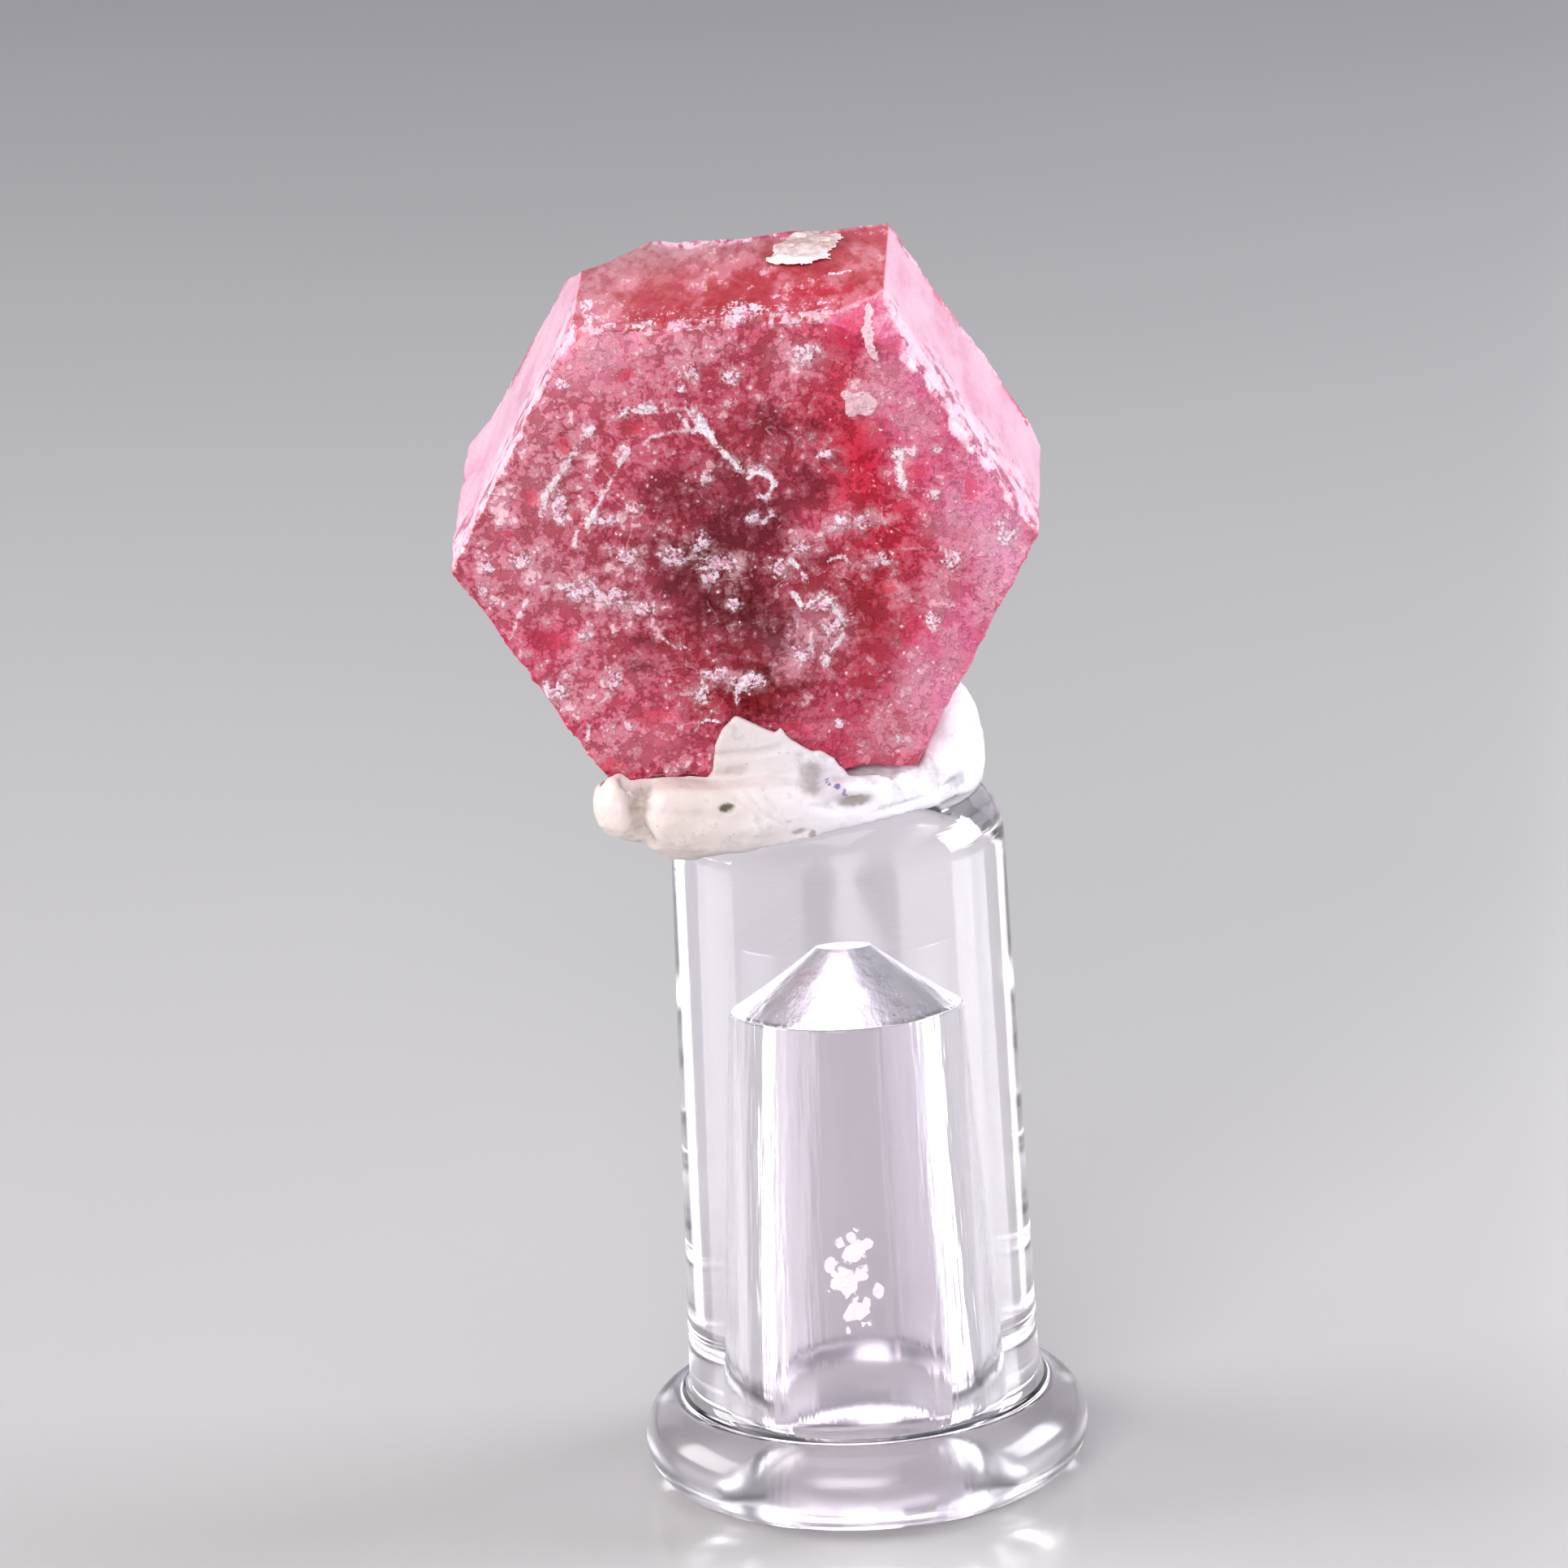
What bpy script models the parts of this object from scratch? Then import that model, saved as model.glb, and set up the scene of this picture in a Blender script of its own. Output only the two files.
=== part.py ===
# A red beryl crystal pressed into putty on a small clear stand.
#
# Every piece is modelled in millimetres and scaled to metres when it is finished. +Z is up, the
# origin is on the surface under the middle of the whole object, and the crystal's end face looks
# along -Y.

import math

import bmesh
import bpy
from mathutils import Euler, Matrix, Vector, noise

TO_METRES = 0.001
SEATING_GAP = 0.06  # clearance between two pieces that touch

# ---- Stand: a turned clear foot with a blind bore that opens downwards
STAND_AXIS_X = 1.22
STAND_HEIGHT = 12.76
STAND_TOP_RADIUS = 2.92
STAND_LOW_RADIUS = 3.12
SHOULDER_RADIUS = 1.13
FLANGE_RADIUS = 3.95
FLANGE_THICKNESS = 1.62
FLANGE_FILLET = 0.3
FOOT_BEVEL = 0.12
BORE_DEPTH = 8.75
BORE_MOUTH_RADIUS = 1.7
BORE_TOP_RADIUS = 1.36
BORE_CONE_HEIGHT = 1.2
BORE_TIP_RADIUS = 0.32
TURNED_STEPS = 48

# ---- Crystal: a short hexagonal prism, lying end-on with its nose down
CRYSTAL_CENTRE = Vector((-0.12, -2.6, STAND_HEIGHT + 4.74))  # middle of the front face
NOSE_DOWN = math.radians(8.4)
TURNED_LEFT = math.radians(3.4)
ROLLED = 1.15  # degrees about the prism's own axis
PRISM_FACES = (  # direction of each long face in degrees, and its distance from the middle
    (150, 4.33),
    (90, 4.08),
    (30, 4.31),
    (-30, 4.34),
    (-90, 4.16),
    (-150, 4.4),
)
PRISM_LENGTH = 4.6
SHARD_REACH = 1.6  # how much further back the broken end reaches at the far left
SHARD_START = 2.4  # distance left of the middle where that shard starts
SHARD_WIDTH = 2.6
SHARD_CURVE = 1.3
MESH_DEPTH = 5  # octree depth of the even net that carries the relief
MESH_SCALE = 0.82  # share of the octree that the crystal fills
FRONT_RELIEF = 0.055
FRONT_BAND = 0.2  # how far back from the front face its relief fades out
SIDE_RELIEF = 0.018
BREAK_RELIEF = 0.3
BREAK_BAND = 0.6  # how far in front of the broken end the side relief fades
RELIEF_AT_BREAK = 0.2
RELIEF_PER_MM = 1.7
BREAK_PER_MM = 0.55
BREAK_DIMENSION = 0.9
BREAK_LACUNARITY = 2.0
BREAK_OCTAVES = 4

# Corners of the front face, each named by where it is, as numbered in front_corners().
LEFT, TOP_LEFT, TOP_RIGHT, RIGHT, LOW_LEFT = 0, 1, 2, 3, 5

# A chip at a front corner: how far it runs to the corner before, to the one after, and back.
FRONT_CHIPS = (
    (TOP_RIGHT, 1.15, 0.85, 1.25),
    (TOP_LEFT, 0.55, 0.5, 0.45),
)
# The same at a back corner, where the third run comes forwards.
BACK_CHIPS = (
    (TOP_LEFT, 0.6, 0.65, 0.7),
    (RIGHT, 0.35, 0.3, 0.4),
    (LOW_LEFT, 0.9, 0.7, 0.8),
)
# Nicks along the front edge of the upper right face: share of the edge, and size of the bite.
EDGE_NICKS = ((0.2, 0.26), (0.33, 0.16), (0.45, 0.3), (0.6, 0.15), (0.76, 0.26), (0.9, 0.18))
NICK_LEAN = Vector((0.5, 0.9, 0.0))  # radians about X, Y and Z
NICK_TURN = Vector((0.3, 0.2, 0.6))  # added from each nick to the next
# Pits in the front face: across, up, radius, depth.
FRONT_PITS = (
    (-0.5, -0.35, 0.75, 0.13),
    (0.55, 0.5, 0.6, 0.1),
    (-2.7, 1.3, 0.7, 0.09),
    (1.6, -1.7, 0.8, 0.1),
    (2.5, 1.6, 0.6, 0.08),
    (-1.6, -2.4, 0.65, 0.08),
    (-3.3, -0.6, 0.6, 0.07),
)
# Knobs grown on the left long edge: distance back from the front face, radius, height.
LEFT_KNOBS = ((1.0, 0.7, 0.08), (2.1, 0.8, 0.12), (3.0, 0.7, 0.1), (3.9, 0.9, 0.16))

# ---- Matrix crust: grains of host rock on the top face, near its back edge
CRUST_GRAINS = (  # across, back from the front face, half sizes across, back and up
    (0.72, 2.95, 0.34, 0.26, 0.2),
    (1.05, 2.8, 0.32, 0.24, 0.17),
    (1.42, 3.05, 0.3, 0.28, 0.17),
    (0.85, 3.5, 0.4, 0.42, 0.18),
    (1.35, 3.6, 0.42, 0.4, 0.2),
    (1.1, 4.05, 0.45, 0.36, 0.17),
    (1.62, 4.0, 0.3, 0.34, 0.14),
)
CRUST_RISE = 0.02  # height of the grains' centres over the face
CRUST_VOXEL = 0.13
CRUST_SMOOTHING = 1

# ---- Putty: a roll under the front edge, a pad under the crystal, and a lobe at the right
PUTTY_ROLL = (  # centre x, y, z and radius, from the left end
    (-2.3, -1.85, 12.96, 0.75),
    (-1.42, -1.98, 12.78, 0.86),
    (-0.75, -2.08, 12.8, 0.8),
    (-0.05, -2.12, 12.8, 0.78),
    (0.65, -2.12, 12.84, 0.76),
    (1.35, -2.02, 12.88, 0.72),
    (2.0, -1.82, 12.92, 0.68),
    (2.6, -1.4, 12.94, 0.66),
)
PUTTY_LUMPS = (  # centre x, y, z, then radii
    (0.85, 0.1, 13.1, 2.6, 2.35, 1.1),
    (-0.9, 0.1, 13.2, 1.6, 1.9, 0.85),
    (2.4, -0.5, 13.0, 1.15, 1.25, 0.95),
    (3.0, 0.05, 13.2, 0.9, 1.5, 1.4),
)
FLAP_OUTLINE = ((-0.85, -4.35), (-0.72, -3.45), (-0.28, -2.98), (0.42, -3.3), (0.78, -3.66),
                (1.4, -3.8), (1.5, -4.35))
FLAP_THICKNESS = 0.3
PUTTY_VOXEL = 0.24
PUTTY_SMOOTHING = 6


def new_collection(name):
    collection = bpy.data.collections.new(name)
    bpy.context.scene.collection.children.link(collection)
    return collection


def new_object(name, bm, collection):
    """Makes an object from a bmesh, which it frees."""
    mesh = bpy.data.meshes.new(name)
    bm.to_mesh(mesh)
    bm.free()
    obj = bpy.data.objects.new(name, mesh)
    collection.objects.link(obj)
    return obj


def as_cutter(obj):
    """Keeps an object out of renders, so that it only cuts."""
    obj.hide_render = True
    obj.display_type = "WIRE"
    return obj


def new_material(name, colour, roughness, transmission=0.0, subsurface=0.0, ior=1.5):
    material = bpy.data.materials.new(name)
    material.use_nodes = True
    shader = material.node_tree.nodes["Principled BSDF"]
    shader.inputs["Base Color"].default_value = (*colour, 1.0)
    shader.inputs["Roughness"].default_value = roughness
    shader.inputs["Metallic"].default_value = 0.0
    shader.inputs["Transmission Weight"].default_value = transmission
    shader.inputs["Subsurface Weight"].default_value = subsurface
    shader.inputs["IOR"].default_value = ior
    return material


def apply_modifiers(obj):
    graph = bpy.context.evaluated_depsgraph_get()
    mesh = bpy.data.meshes.new_from_object(obj.evaluated_get(graph))
    obj.modifiers.clear()
    obj.data = mesh


def cut(obj, cutter):
    modifier = obj.modifiers.new("Cut by " + cutter.name, "BOOLEAN")
    modifier.operation = "DIFFERENCE"
    modifier.object = cutter
    apply_modifiers(obj)


def finish(obj, material, smooth_angle):
    """Scales a piece from millimetres to metres and gives it its material."""
    obj.data.transform(Matrix.Scale(TO_METRES, 4))
    obj.data.shade_smooth()
    obj.data.set_sharp_from_angle(angle=math.radians(smooth_angle))
    obj.data.materials.clear()
    obj.data.materials.append(material)


def arc(centre_radius, centre_height, radius, start, end, steps):
    """Points of a turned profile on an arc, between two angles in degrees."""
    points = []
    for i in range(steps + 1):
        angle = math.radians(start + (end - start) * i / steps)
        across = centre_radius + radius * math.cos(angle)
        points.append((across, centre_height + radius * math.sin(angle)))
    return points


# ---- Stand


def stand_profile(growth=0.0):
    """The stand's half section from the middle of its top round to the tip of the bore."""
    top = STAND_HEIGHT + growth
    flat = STAND_TOP_RADIUS - SHOULDER_RADIUS
    bead = FLANGE_THICKNESS / 2
    fillet_height = FLANGE_THICKNESS + FLANGE_FILLET
    fillet_radius = STAND_LOW_RADIUS + FLANGE_FILLET
    points = [(0.0, top)]
    points += arc(flat, STAND_HEIGHT - SHOULDER_RADIUS, SHOULDER_RADIUS + growth, 90, 0, 6)
    points += arc(fillet_radius, fillet_height, FLANGE_FILLET, 180, 270, 3)
    points += arc(FLANGE_RADIUS - bead, bead, bead, 90, -70, 8)
    points.append((FLANGE_RADIUS - bead, 0.0))
    points.append((BORE_MOUTH_RADIUS + FOOT_BEVEL, 0.0))
    points.append((BORE_MOUTH_RADIUS, FOOT_BEVEL))
    points.append((BORE_TOP_RADIUS, BORE_DEPTH))
    points.append((BORE_TIP_RADIUS, BORE_DEPTH + BORE_CONE_HEIGHT))
    points.append((0.0, BORE_DEPTH + BORE_CONE_HEIGHT))
    return points


def turned(name, profile, collection):
    """A solid of revolution about the stand's axis."""
    bm = bmesh.new()
    verts = [bm.verts.new((across, 0.0, height)) for across, height in profile]
    for upper, lower in zip(verts, verts[1:]):
        bm.edges.new((upper, lower))
    obj = new_object(name, bm, collection)
    screw = obj.modifiers.new("Turn", "SCREW")
    screw.steps = TURNED_STEPS
    screw.render_steps = TURNED_STEPS
    screw.use_merge_vertices = True
    screw.merge_threshold = 0.0001
    apply_modifiers(obj)
    obj.data.transform(Matrix.Translation((STAND_AXIS_X, 0.0, 0.0)))
    return obj


# ---- Crystal, in a local frame: X across, Z up the front face, Y back along the prism


def crystal_frame():
    turn = Euler((NOSE_DOWN, 0.0, -TURNED_LEFT), "XYZ").to_matrix().to_4x4()
    return Matrix.Translation(CRYSTAL_CENTRE) @ turn


def face_direction(degrees):
    angle = math.radians(degrees + ROLLED)
    return Vector((math.cos(angle), 0.0, math.sin(angle)))


def front_corners():
    """Where each long face meets the one before it, on the front face."""
    corners = []
    for i, (degrees, distance) in enumerate(PRISM_FACES):
        degrees_before, distance_before = PRISM_FACES[i - 1]
        a, b = face_direction(degrees_before), face_direction(degrees)
        scale = a.x * b.z - a.z * b.x
        across = (distance_before * b.z - distance * a.z) / scale
        up = (distance * a.x - distance_before * b.x) / scale
        corners.append(Vector((across, 0.0, up)))
    return corners


def slice_off(bm, point, outward):
    """Cuts away all that lies beyond a plane, and closes the cut."""
    geometry = bm.verts[:] + bm.edges[:] + bm.faces[:]
    result = bmesh.ops.bisect_plane(
        bm, geom=geometry, plane_co=point, plane_no=outward, clear_outer=True
    )
    rim = [part for part in result["geom_cut"] if isinstance(part, bmesh.types.BMEdge)]
    if rim:
        bmesh.ops.contextual_create(bm, geom=rim)


def prism_block(growth=0.0):
    bm = bmesh.new()
    bmesh.ops.create_cube(bm, size=8 * PRISM_LENGTH)
    for degrees, distance in PRISM_FACES:
        outward = face_direction(degrees)
        slice_off(bm, outward * (distance + growth), outward)
    slice_off(bm, Vector((0.0, -growth, 0.0)), Vector((0.0, -1.0, 0.0)))
    slice_off(bm, Vector((0.0, PRISM_LENGTH + growth, 0.0)), Vector((0.0, 1.0, 0.0)))
    return bm


def chip_corner(bm, index, to_before, to_after, along, depth):
    """Takes off one corner with a plane through a point on each of its three edges."""
    corners = front_corners()
    corner = corners[index] + Vector((0.0, depth, 0.0))
    before = (corners[index - 1] - corners[index]).normalized()
    after = (corners[(index + 1) % len(corners)] - corners[index]).normalized()
    inwards = Vector((0.0, 1.0 if depth == 0.0 else -1.0, 0.0))
    a = corner + before * to_before
    b = corner + after * to_after
    c = corner + inwards * along
    outward = (b - a).cross(c - a).normalized()
    if outward.dot(corner - a) < 0.0:
        outward.negate()
    slice_off(bm, a, outward)


def nick_cutters(collection):
    """Small leaning blocks that bite into the front edge of the upper right face."""
    corners = front_corners()
    start, end = corners[TOP_RIGHT], corners[RIGHT]
    bm = bmesh.new()
    for number, (share, size) in enumerate(EDGE_NICKS):
        place = Matrix.Translation(start.lerp(end, share))
        lean = Euler(NICK_LEAN + NICK_TURN * number).to_matrix().to_4x4()
        bmesh.ops.create_cube(bm, size=size, matrix=place @ lean)
    return as_cutter(new_object("edge_nicks", bm, collection))


def even_mesh(obj):
    """Replaces a block's faces by an even net of small ones, and keeps its edges sharp."""
    remesh = obj.modifiers.new("Even net", "REMESH")
    remesh.mode = "SHARP"
    remesh.octree_depth = MESH_DEPTH
    remesh.scale = MESH_SCALE
    remesh.sharpness = 1.0
    remesh.use_remove_disconnected = True
    apply_modifiers(obj)


def length_here(across, up):
    """How far the prism reaches back: longest at the left, and uneven where it broke off."""
    shard = SHARD_REACH * max(0.0, (-across - SHARD_START) / SHARD_WIDTH) ** SHARD_CURVE
    place = Vector((across, up, PRISM_LENGTH)) * BREAK_PER_MM
    rough = noise.fractal(place, BREAK_DIMENSION, BREAK_LACUNARITY, BREAK_OCTAVES)
    return PRISM_LENGTH + shard + BREAK_RELIEF * rough


def surface_shift(point, left_edge):
    """How far a point of the crystal stands proud of its flat face."""
    across, back, up = point
    front = max(0.0, 1.0 - back / FRONT_BAND)
    relief = FRONT_RELIEF * front + SIDE_RELIEF * (1.0 - front)
    shift = relief * noise.noise(point * RELIEF_PER_MM)
    for pit_across, pit_up, radius, depth in FRONT_PITS:
        distance = math.hypot(across - pit_across, up - pit_up) / radius
        if distance < 1.0:
            shift -= front * depth * (1.0 - distance * distance) ** 2
    for knob_back, radius, height in LEFT_KNOBS:
        knob = left_edge + Vector((0.0, knob_back, 0.0))
        distance = (point - knob).length / radius
        if distance < 1.0:
            shift += height * (1.0 - distance * distance)
    return shift


def roughen(bm):
    """Gives the faces their relief, then draws the back end out to its broken shape."""
    left_edge = front_corners()[LEFT]
    for vert in bm.verts:
        from_break = (PRISM_LENGTH - vert.co.y) / BREAK_BAND
        held = min(1.0, max(RELIEF_AT_BREAK, from_break))
        vert.co += vert.normal * surface_shift(vert.co, left_edge) * held
    for vert in bm.verts:
        share = max(0.0, vert.co.y / PRISM_LENGTH)
        vert.co.y += (length_here(vert.co.x, vert.co.z) - PRISM_LENGTH) * share


def make_crystal(parts, cutters):
    bm = prism_block()
    for index, to_before, to_after, along in FRONT_CHIPS:
        chip_corner(bm, index, to_before, to_after, along, 0.0)
    for index, to_before, to_after, along in BACK_CHIPS:
        chip_corner(bm, index, to_before, to_after, along, PRISM_LENGTH)
    bmesh.ops.recalc_face_normals(bm, faces=bm.faces[:])
    crystal = new_object("crystal", bm, parts)
    even_mesh(crystal)
    bm = bmesh.new()
    bm.from_mesh(crystal.data)
    roughen(bm)
    bm.to_mesh(crystal.data)
    bm.free()
    cut(crystal, nick_cutters(cutters))
    crystal.data.transform(crystal_frame())
    finish(crystal, new_material("beryl", (0.62, 0.13, 0.19), 0.35, subsurface=0.4, ior=1.57), 24)
    return crystal


# ---- Matrix crust and putty


def add_ellipsoid(bm, centre, radii, subdivisions):
    place = Matrix.Translation(centre) @ Matrix.Diagonal((*radii, 1.0))
    bmesh.ops.create_icosphere(bm, subdivisions=subdivisions, radius=1.0, matrix=place)


def fuse(obj, voxel, smoothing):
    """Makes one skin of overlapping shapes, and softens it."""
    remesh = obj.modifiers.new("One skin", "REMESH")
    remesh.mode = "VOXEL"
    remesh.voxel_size = voxel
    smooth = obj.modifiers.new("Soften", "SMOOTH")
    smooth.factor = 0.5
    smooth.iterations = smoothing
    apply_modifiers(obj)


def crystal_cutter(cutters):
    block = prism_block(SEATING_GAP + FRONT_RELIEF)
    cutter = as_cutter(new_object("crystal_seat", block, cutters))
    cutter.data.transform(crystal_frame())
    return cutter


def make_crust(parts, seat):
    bm = bmesh.new()
    top_distance = PRISM_FACES[TOP_LEFT][1]
    for across, back, half_across, half_back, half_up in CRUST_GRAINS:
        centre = (across, back, top_distance + SEATING_GAP + CRUST_RISE)
        add_ellipsoid(bm, centre, (half_across, half_back, half_up), 2)
    crust = new_object("matrix_crust", bm, parts)
    crust.data.transform(crystal_frame())
    fuse(crust, CRUST_VOXEL, CRUST_SMOOTHING)
    cut(crust, seat)
    finish(crust, new_material("rock_crust", (0.72, 0.68, 0.64), 0.85), 40)
    return crust


def add_flap(bm):
    """A thin torn tongue of putty that leans on the front face."""
    faces = []
    for back in (-FLAP_THICKNESS - SEATING_GAP, FLAP_THICKNESS):
        ring = [bm.verts.new((across, back, up)) for across, up in FLAP_OUTLINE]
        faces.append(bm.faces.new(ring))
    bmesh.ops.bridge_loops(bm, edges=[edge for face in faces for edge in face.edges])


def make_putty(parts, cutters, seat):
    bm = bmesh.new()
    add_flap(bm)
    bmesh.ops.recalc_face_normals(bm, faces=bm.faces[:])
    bmesh.ops.transform(bm, matrix=crystal_frame(), verts=bm.verts[:])
    for x, y, z, radius in PUTTY_ROLL:
        add_ellipsoid(bm, (x, y, z), (radius, radius, radius), 3)
    for x, y, z, across, deep, high in PUTTY_LUMPS:
        add_ellipsoid(bm, (x, y, z), (across, deep, high), 3)
    putty = new_object("putty", bm, parts)
    fuse(putty, PUTTY_VOXEL, PUTTY_SMOOTHING)
    stand_seat = as_cutter(turned("stand_seat", stand_profile(SEATING_GAP), cutters))
    cut(putty, seat)
    cut(putty, stand_seat)
    finish(putty, new_material("putty", (0.8, 0.77, 0.73), 0.6, subsurface=0.1), 40)
    return putty


def main():
    for obj in list(bpy.data.objects):
        bpy.data.objects.remove(obj)
    parts = new_collection("red_beryl_specimen")
    cutters = new_collection("cutters")
    stand = turned("stand", stand_profile(), parts)
    clear = new_material("clear_acrylic", (0.97, 0.97, 1.0), 0.05, transmission=1.0, ior=1.49)
    finish(stand, clear, 30)
    make_crystal(parts, cutters)
    seat = crystal_cutter(cutters)
    make_crust(parts, seat)
    make_putty(parts, cutters, seat)


main()
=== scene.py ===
import math

import bpy
import numpy as np
from mathutils import Euler, Matrix, Vector, noise


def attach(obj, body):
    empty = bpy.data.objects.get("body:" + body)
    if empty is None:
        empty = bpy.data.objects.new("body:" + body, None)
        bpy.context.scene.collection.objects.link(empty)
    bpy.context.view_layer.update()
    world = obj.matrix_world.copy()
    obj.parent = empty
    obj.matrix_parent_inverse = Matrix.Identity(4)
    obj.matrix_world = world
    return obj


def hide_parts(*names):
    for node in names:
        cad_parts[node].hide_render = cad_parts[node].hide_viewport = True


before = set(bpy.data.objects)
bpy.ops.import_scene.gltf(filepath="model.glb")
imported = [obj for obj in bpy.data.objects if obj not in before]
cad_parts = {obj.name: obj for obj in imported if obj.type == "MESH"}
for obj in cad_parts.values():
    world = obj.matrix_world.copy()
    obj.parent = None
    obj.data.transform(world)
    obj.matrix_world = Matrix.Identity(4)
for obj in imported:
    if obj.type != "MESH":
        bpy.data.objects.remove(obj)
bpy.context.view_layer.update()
print("frame loaded:", ", ".join(sorted(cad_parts)))

# Pieces are modelled in millimetres and brought down to metres when they are done.
perMetre = 1000.0


def srgb(code):
    parts = [int(code[i:i + 2], 16) / 255 for i in (0, 2, 4)]
    linear = [p / 12.92 if p <= 0.04045 else ((p + 0.055) / 1.055) ** 2.4 for p in parts]
    return (*linear, 1.0)


class Wire:
    def __init__(self, paint, socket):
        self.paint = paint
        self.socket = socket

    def math(self, operation, first, second, clamp=False):
        settings = {"operation": operation, "use_clamp": clamp}
        return self.paint.node("ShaderNodeMath", settings, {0: first, 1: second})

    def __add__(self, other):
        return self.math("ADD", self, other)

    def __radd__(self, other):
        return self.math("ADD", other, self)

    def __sub__(self, other):
        return self.math("SUBTRACT", self, other)

    def __rsub__(self, other):
        return self.math("SUBTRACT", other, self)

    def __mul__(self, other):
        return self.math("MULTIPLY", self, other)

    def __rmul__(self, other):
        return self.math("MULTIPLY", other, self)

    def over(self, other):
        return self.math("MAXIMUM", self, other)

    def held(self):
        return self.math("ADD", self, 0.0, clamp=True)

    def step(self, low, high):  # 0 below low, 1 above high, soft between them
        sockets = {"Value": self, "From Min": low, "From Max": high}
        return self.paint.node("ShaderNodeMapRange", {"interpolation_type": "SMOOTHSTEP"}, sockets)


class Paint:
    def __init__(self, name):
        self.material = bpy.data.materials.new(name)
        self.material.use_nodes = True
        self.tree = self.material.node_tree
        self.tree.nodes.clear()

    def node(self, kind, settings, sockets, out=0):
        made = self.tree.nodes.new(kind)
        for key, value in settings.items():
            setattr(made, key, value)
        for key, value in sockets.items():
            if isinstance(value, Wire):
                self.tree.links.new(value.socket, made.inputs[key])
            else:
                made.inputs[key].default_value = value
        return Wire(self, made.outputs[out]) if made.outputs else None

    # object coordinates in mm about a centre, with marks drawn out along Y by the last number
    def place(self, centre=(0, 0, 0), turn=(0, 0, 0), drawn=1.0):
        coords = self.node("ShaderNodeTexCoord", {}, {}, "Object")
        sockets = {"Vector": coords, "Location": [c / perMetre for c in centre],
                   "Rotation": turn, "Scale": (1 / perMetre, drawn / perMetre, 1 / perMetre)}
        return self.node("ShaderNodeMapping", {"vector_type": "TEXTURE"}, sockets)

    def vector(self, operation, *values, out=0):
        settings = {"operation": operation}
        return self.node("ShaderNodeVectorMath", settings, dict(enumerate(values)), out)

    def noise(self, coords, scale, detail=4.0, rough=0.55, out="Fac"):
        sockets = {"Vector": coords, "Scale": scale, "Detail": detail, "Roughness": rough}
        return self.node("ShaderNodeTexNoise", {}, sockets, out)

    def warp(self, coords, scale, amount):  # shoves coordinates about by a noise
        push = self.noise(coords, scale, 3.0, 0.6, "Color")
        push = self.vector("SUBTRACT", push, (0.5, 0.5, 0.5))
        return self.vector("MULTIPLY_ADD", push, (amount,) * 3, coords)

    def part(self, coords, axis):
        return self.node("ShaderNodeSeparateXYZ", {}, {0: coords}, axis)

    def channel(self, colour, name):
        return self.node("ShaderNodeSeparateColor", {}, {0: colour}, name)

    def grains(self, coords, scale):  # distance to each grain's middle, and a chance per grain
        sockets = {"Vector": coords, "Scale": scale}
        reach = self.node("ShaderNodeTexVoronoi", {}, sockets, "Distance")
        cell = Wire(self, reach.socket.node.outputs["Color"])
        return reach, self.channel(cell, "Red")

    def attribute(self, name, out="Fac"):
        return self.node("ShaderNodeAttribute", {"attribute_name": name}, {}, out)

    def mix(self, factor, first, second, blend="MIX"):
        settings = {"data_type": "RGBA", "blend_type": blend, "clamp_factor": True}
        return self.node("ShaderNodeMix", settings, {0: factor, 6: first, 7: second}, 2)

    def laid(self, base, *layers):  # lays tones over one another, each as (share, tone)
        for share, tone, *blend in layers:
            base = self.mix(share, base, tone, *blend)
        return base

    def bump(self, height, depth, strength=1.0):  # depth in mm
        sockets = {"Height": height, "Distance": depth / perMetre, "Strength": strength}
        return self.node("ShaderNodeBump", {}, sockets)

    def shader(self, sockets):
        return self.node("ShaderNodeBsdfPrincipled", {}, sockets)

    def done(self, shader):
        self.node("ShaderNodeOutputMaterial", {}, {"Surface": shader})
        return self.material


def only(piece):
    if bpy.context.mode != "OBJECT":
        bpy.ops.object.mode_set(mode="OBJECT")
    bpy.ops.object.select_all(action="DESELECT")
    piece.select_set(True)
    bpy.context.view_layer.objects.active = piece


def pickAll():
    bpy.ops.mesh.select_all(action="SELECT")


def editAll(piece):
    only(piece)
    bpy.ops.object.mode_set(mode="EDIT")
    pickAll()


def pickFaces(piece, wanted):  # leaves edit mode on with the faces that pass the test selected
    editAll(piece)
    bpy.ops.mesh.select_mode(type="FACE")
    bpy.ops.mesh.select_all(action="DESELECT")
    bpy.ops.object.mode_set(mode="OBJECT")
    for face in piece.data.polygons:
        face.select = wanted(face.center, face.normal)
    bpy.ops.object.mode_set(mode="EDIT")


def modify(piece, kind, **settings):
    only(piece)
    bpy.ops.object.modifier_add(type=kind)
    modifier = piece.modifiers[-1]
    for key, value in settings.items():
        setattr(modifier, key, value)
    bpy.ops.object.modifier_apply(modifier=modifier.name)


def texture(name, kind, size, **settings):
    made = bpy.data.textures.new(name, kind)
    made.noise_scale = size
    for key, value in settings.items():
        setattr(made, key, value)
    return made


def points(piece):
    flat = np.empty(len(piece.data.vertices) * 3, np.float32)
    piece.data.vertices.foreach_get("co", flat)
    return flat.reshape(-1, 3).astype(float)


def normals(piece):
    flat = np.empty(len(piece.data.vertices) * 3, np.float32)
    piece.data.vertices.foreach_get("normal", flat)
    return flat.reshape(-1, 3).astype(float)


def movePoints(piece, places):
    piece.data.vertices.foreach_set("co", places.astype(np.float32).ravel())
    piece.data.update()


def writeField(piece, name, values):  # one number, or one colour, for each point
    if values.ndim == 1:
        field = piece.data.attributes.new(name, "FLOAT", "POINT")
        field.data.foreach_set("value", values.astype(np.float32))
    else:
        field = piece.data.attributes.new(name, "FLOAT_COLOR", "POINT")
        field.data.foreach_set("color", values.astype(np.float32).ravel())


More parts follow.
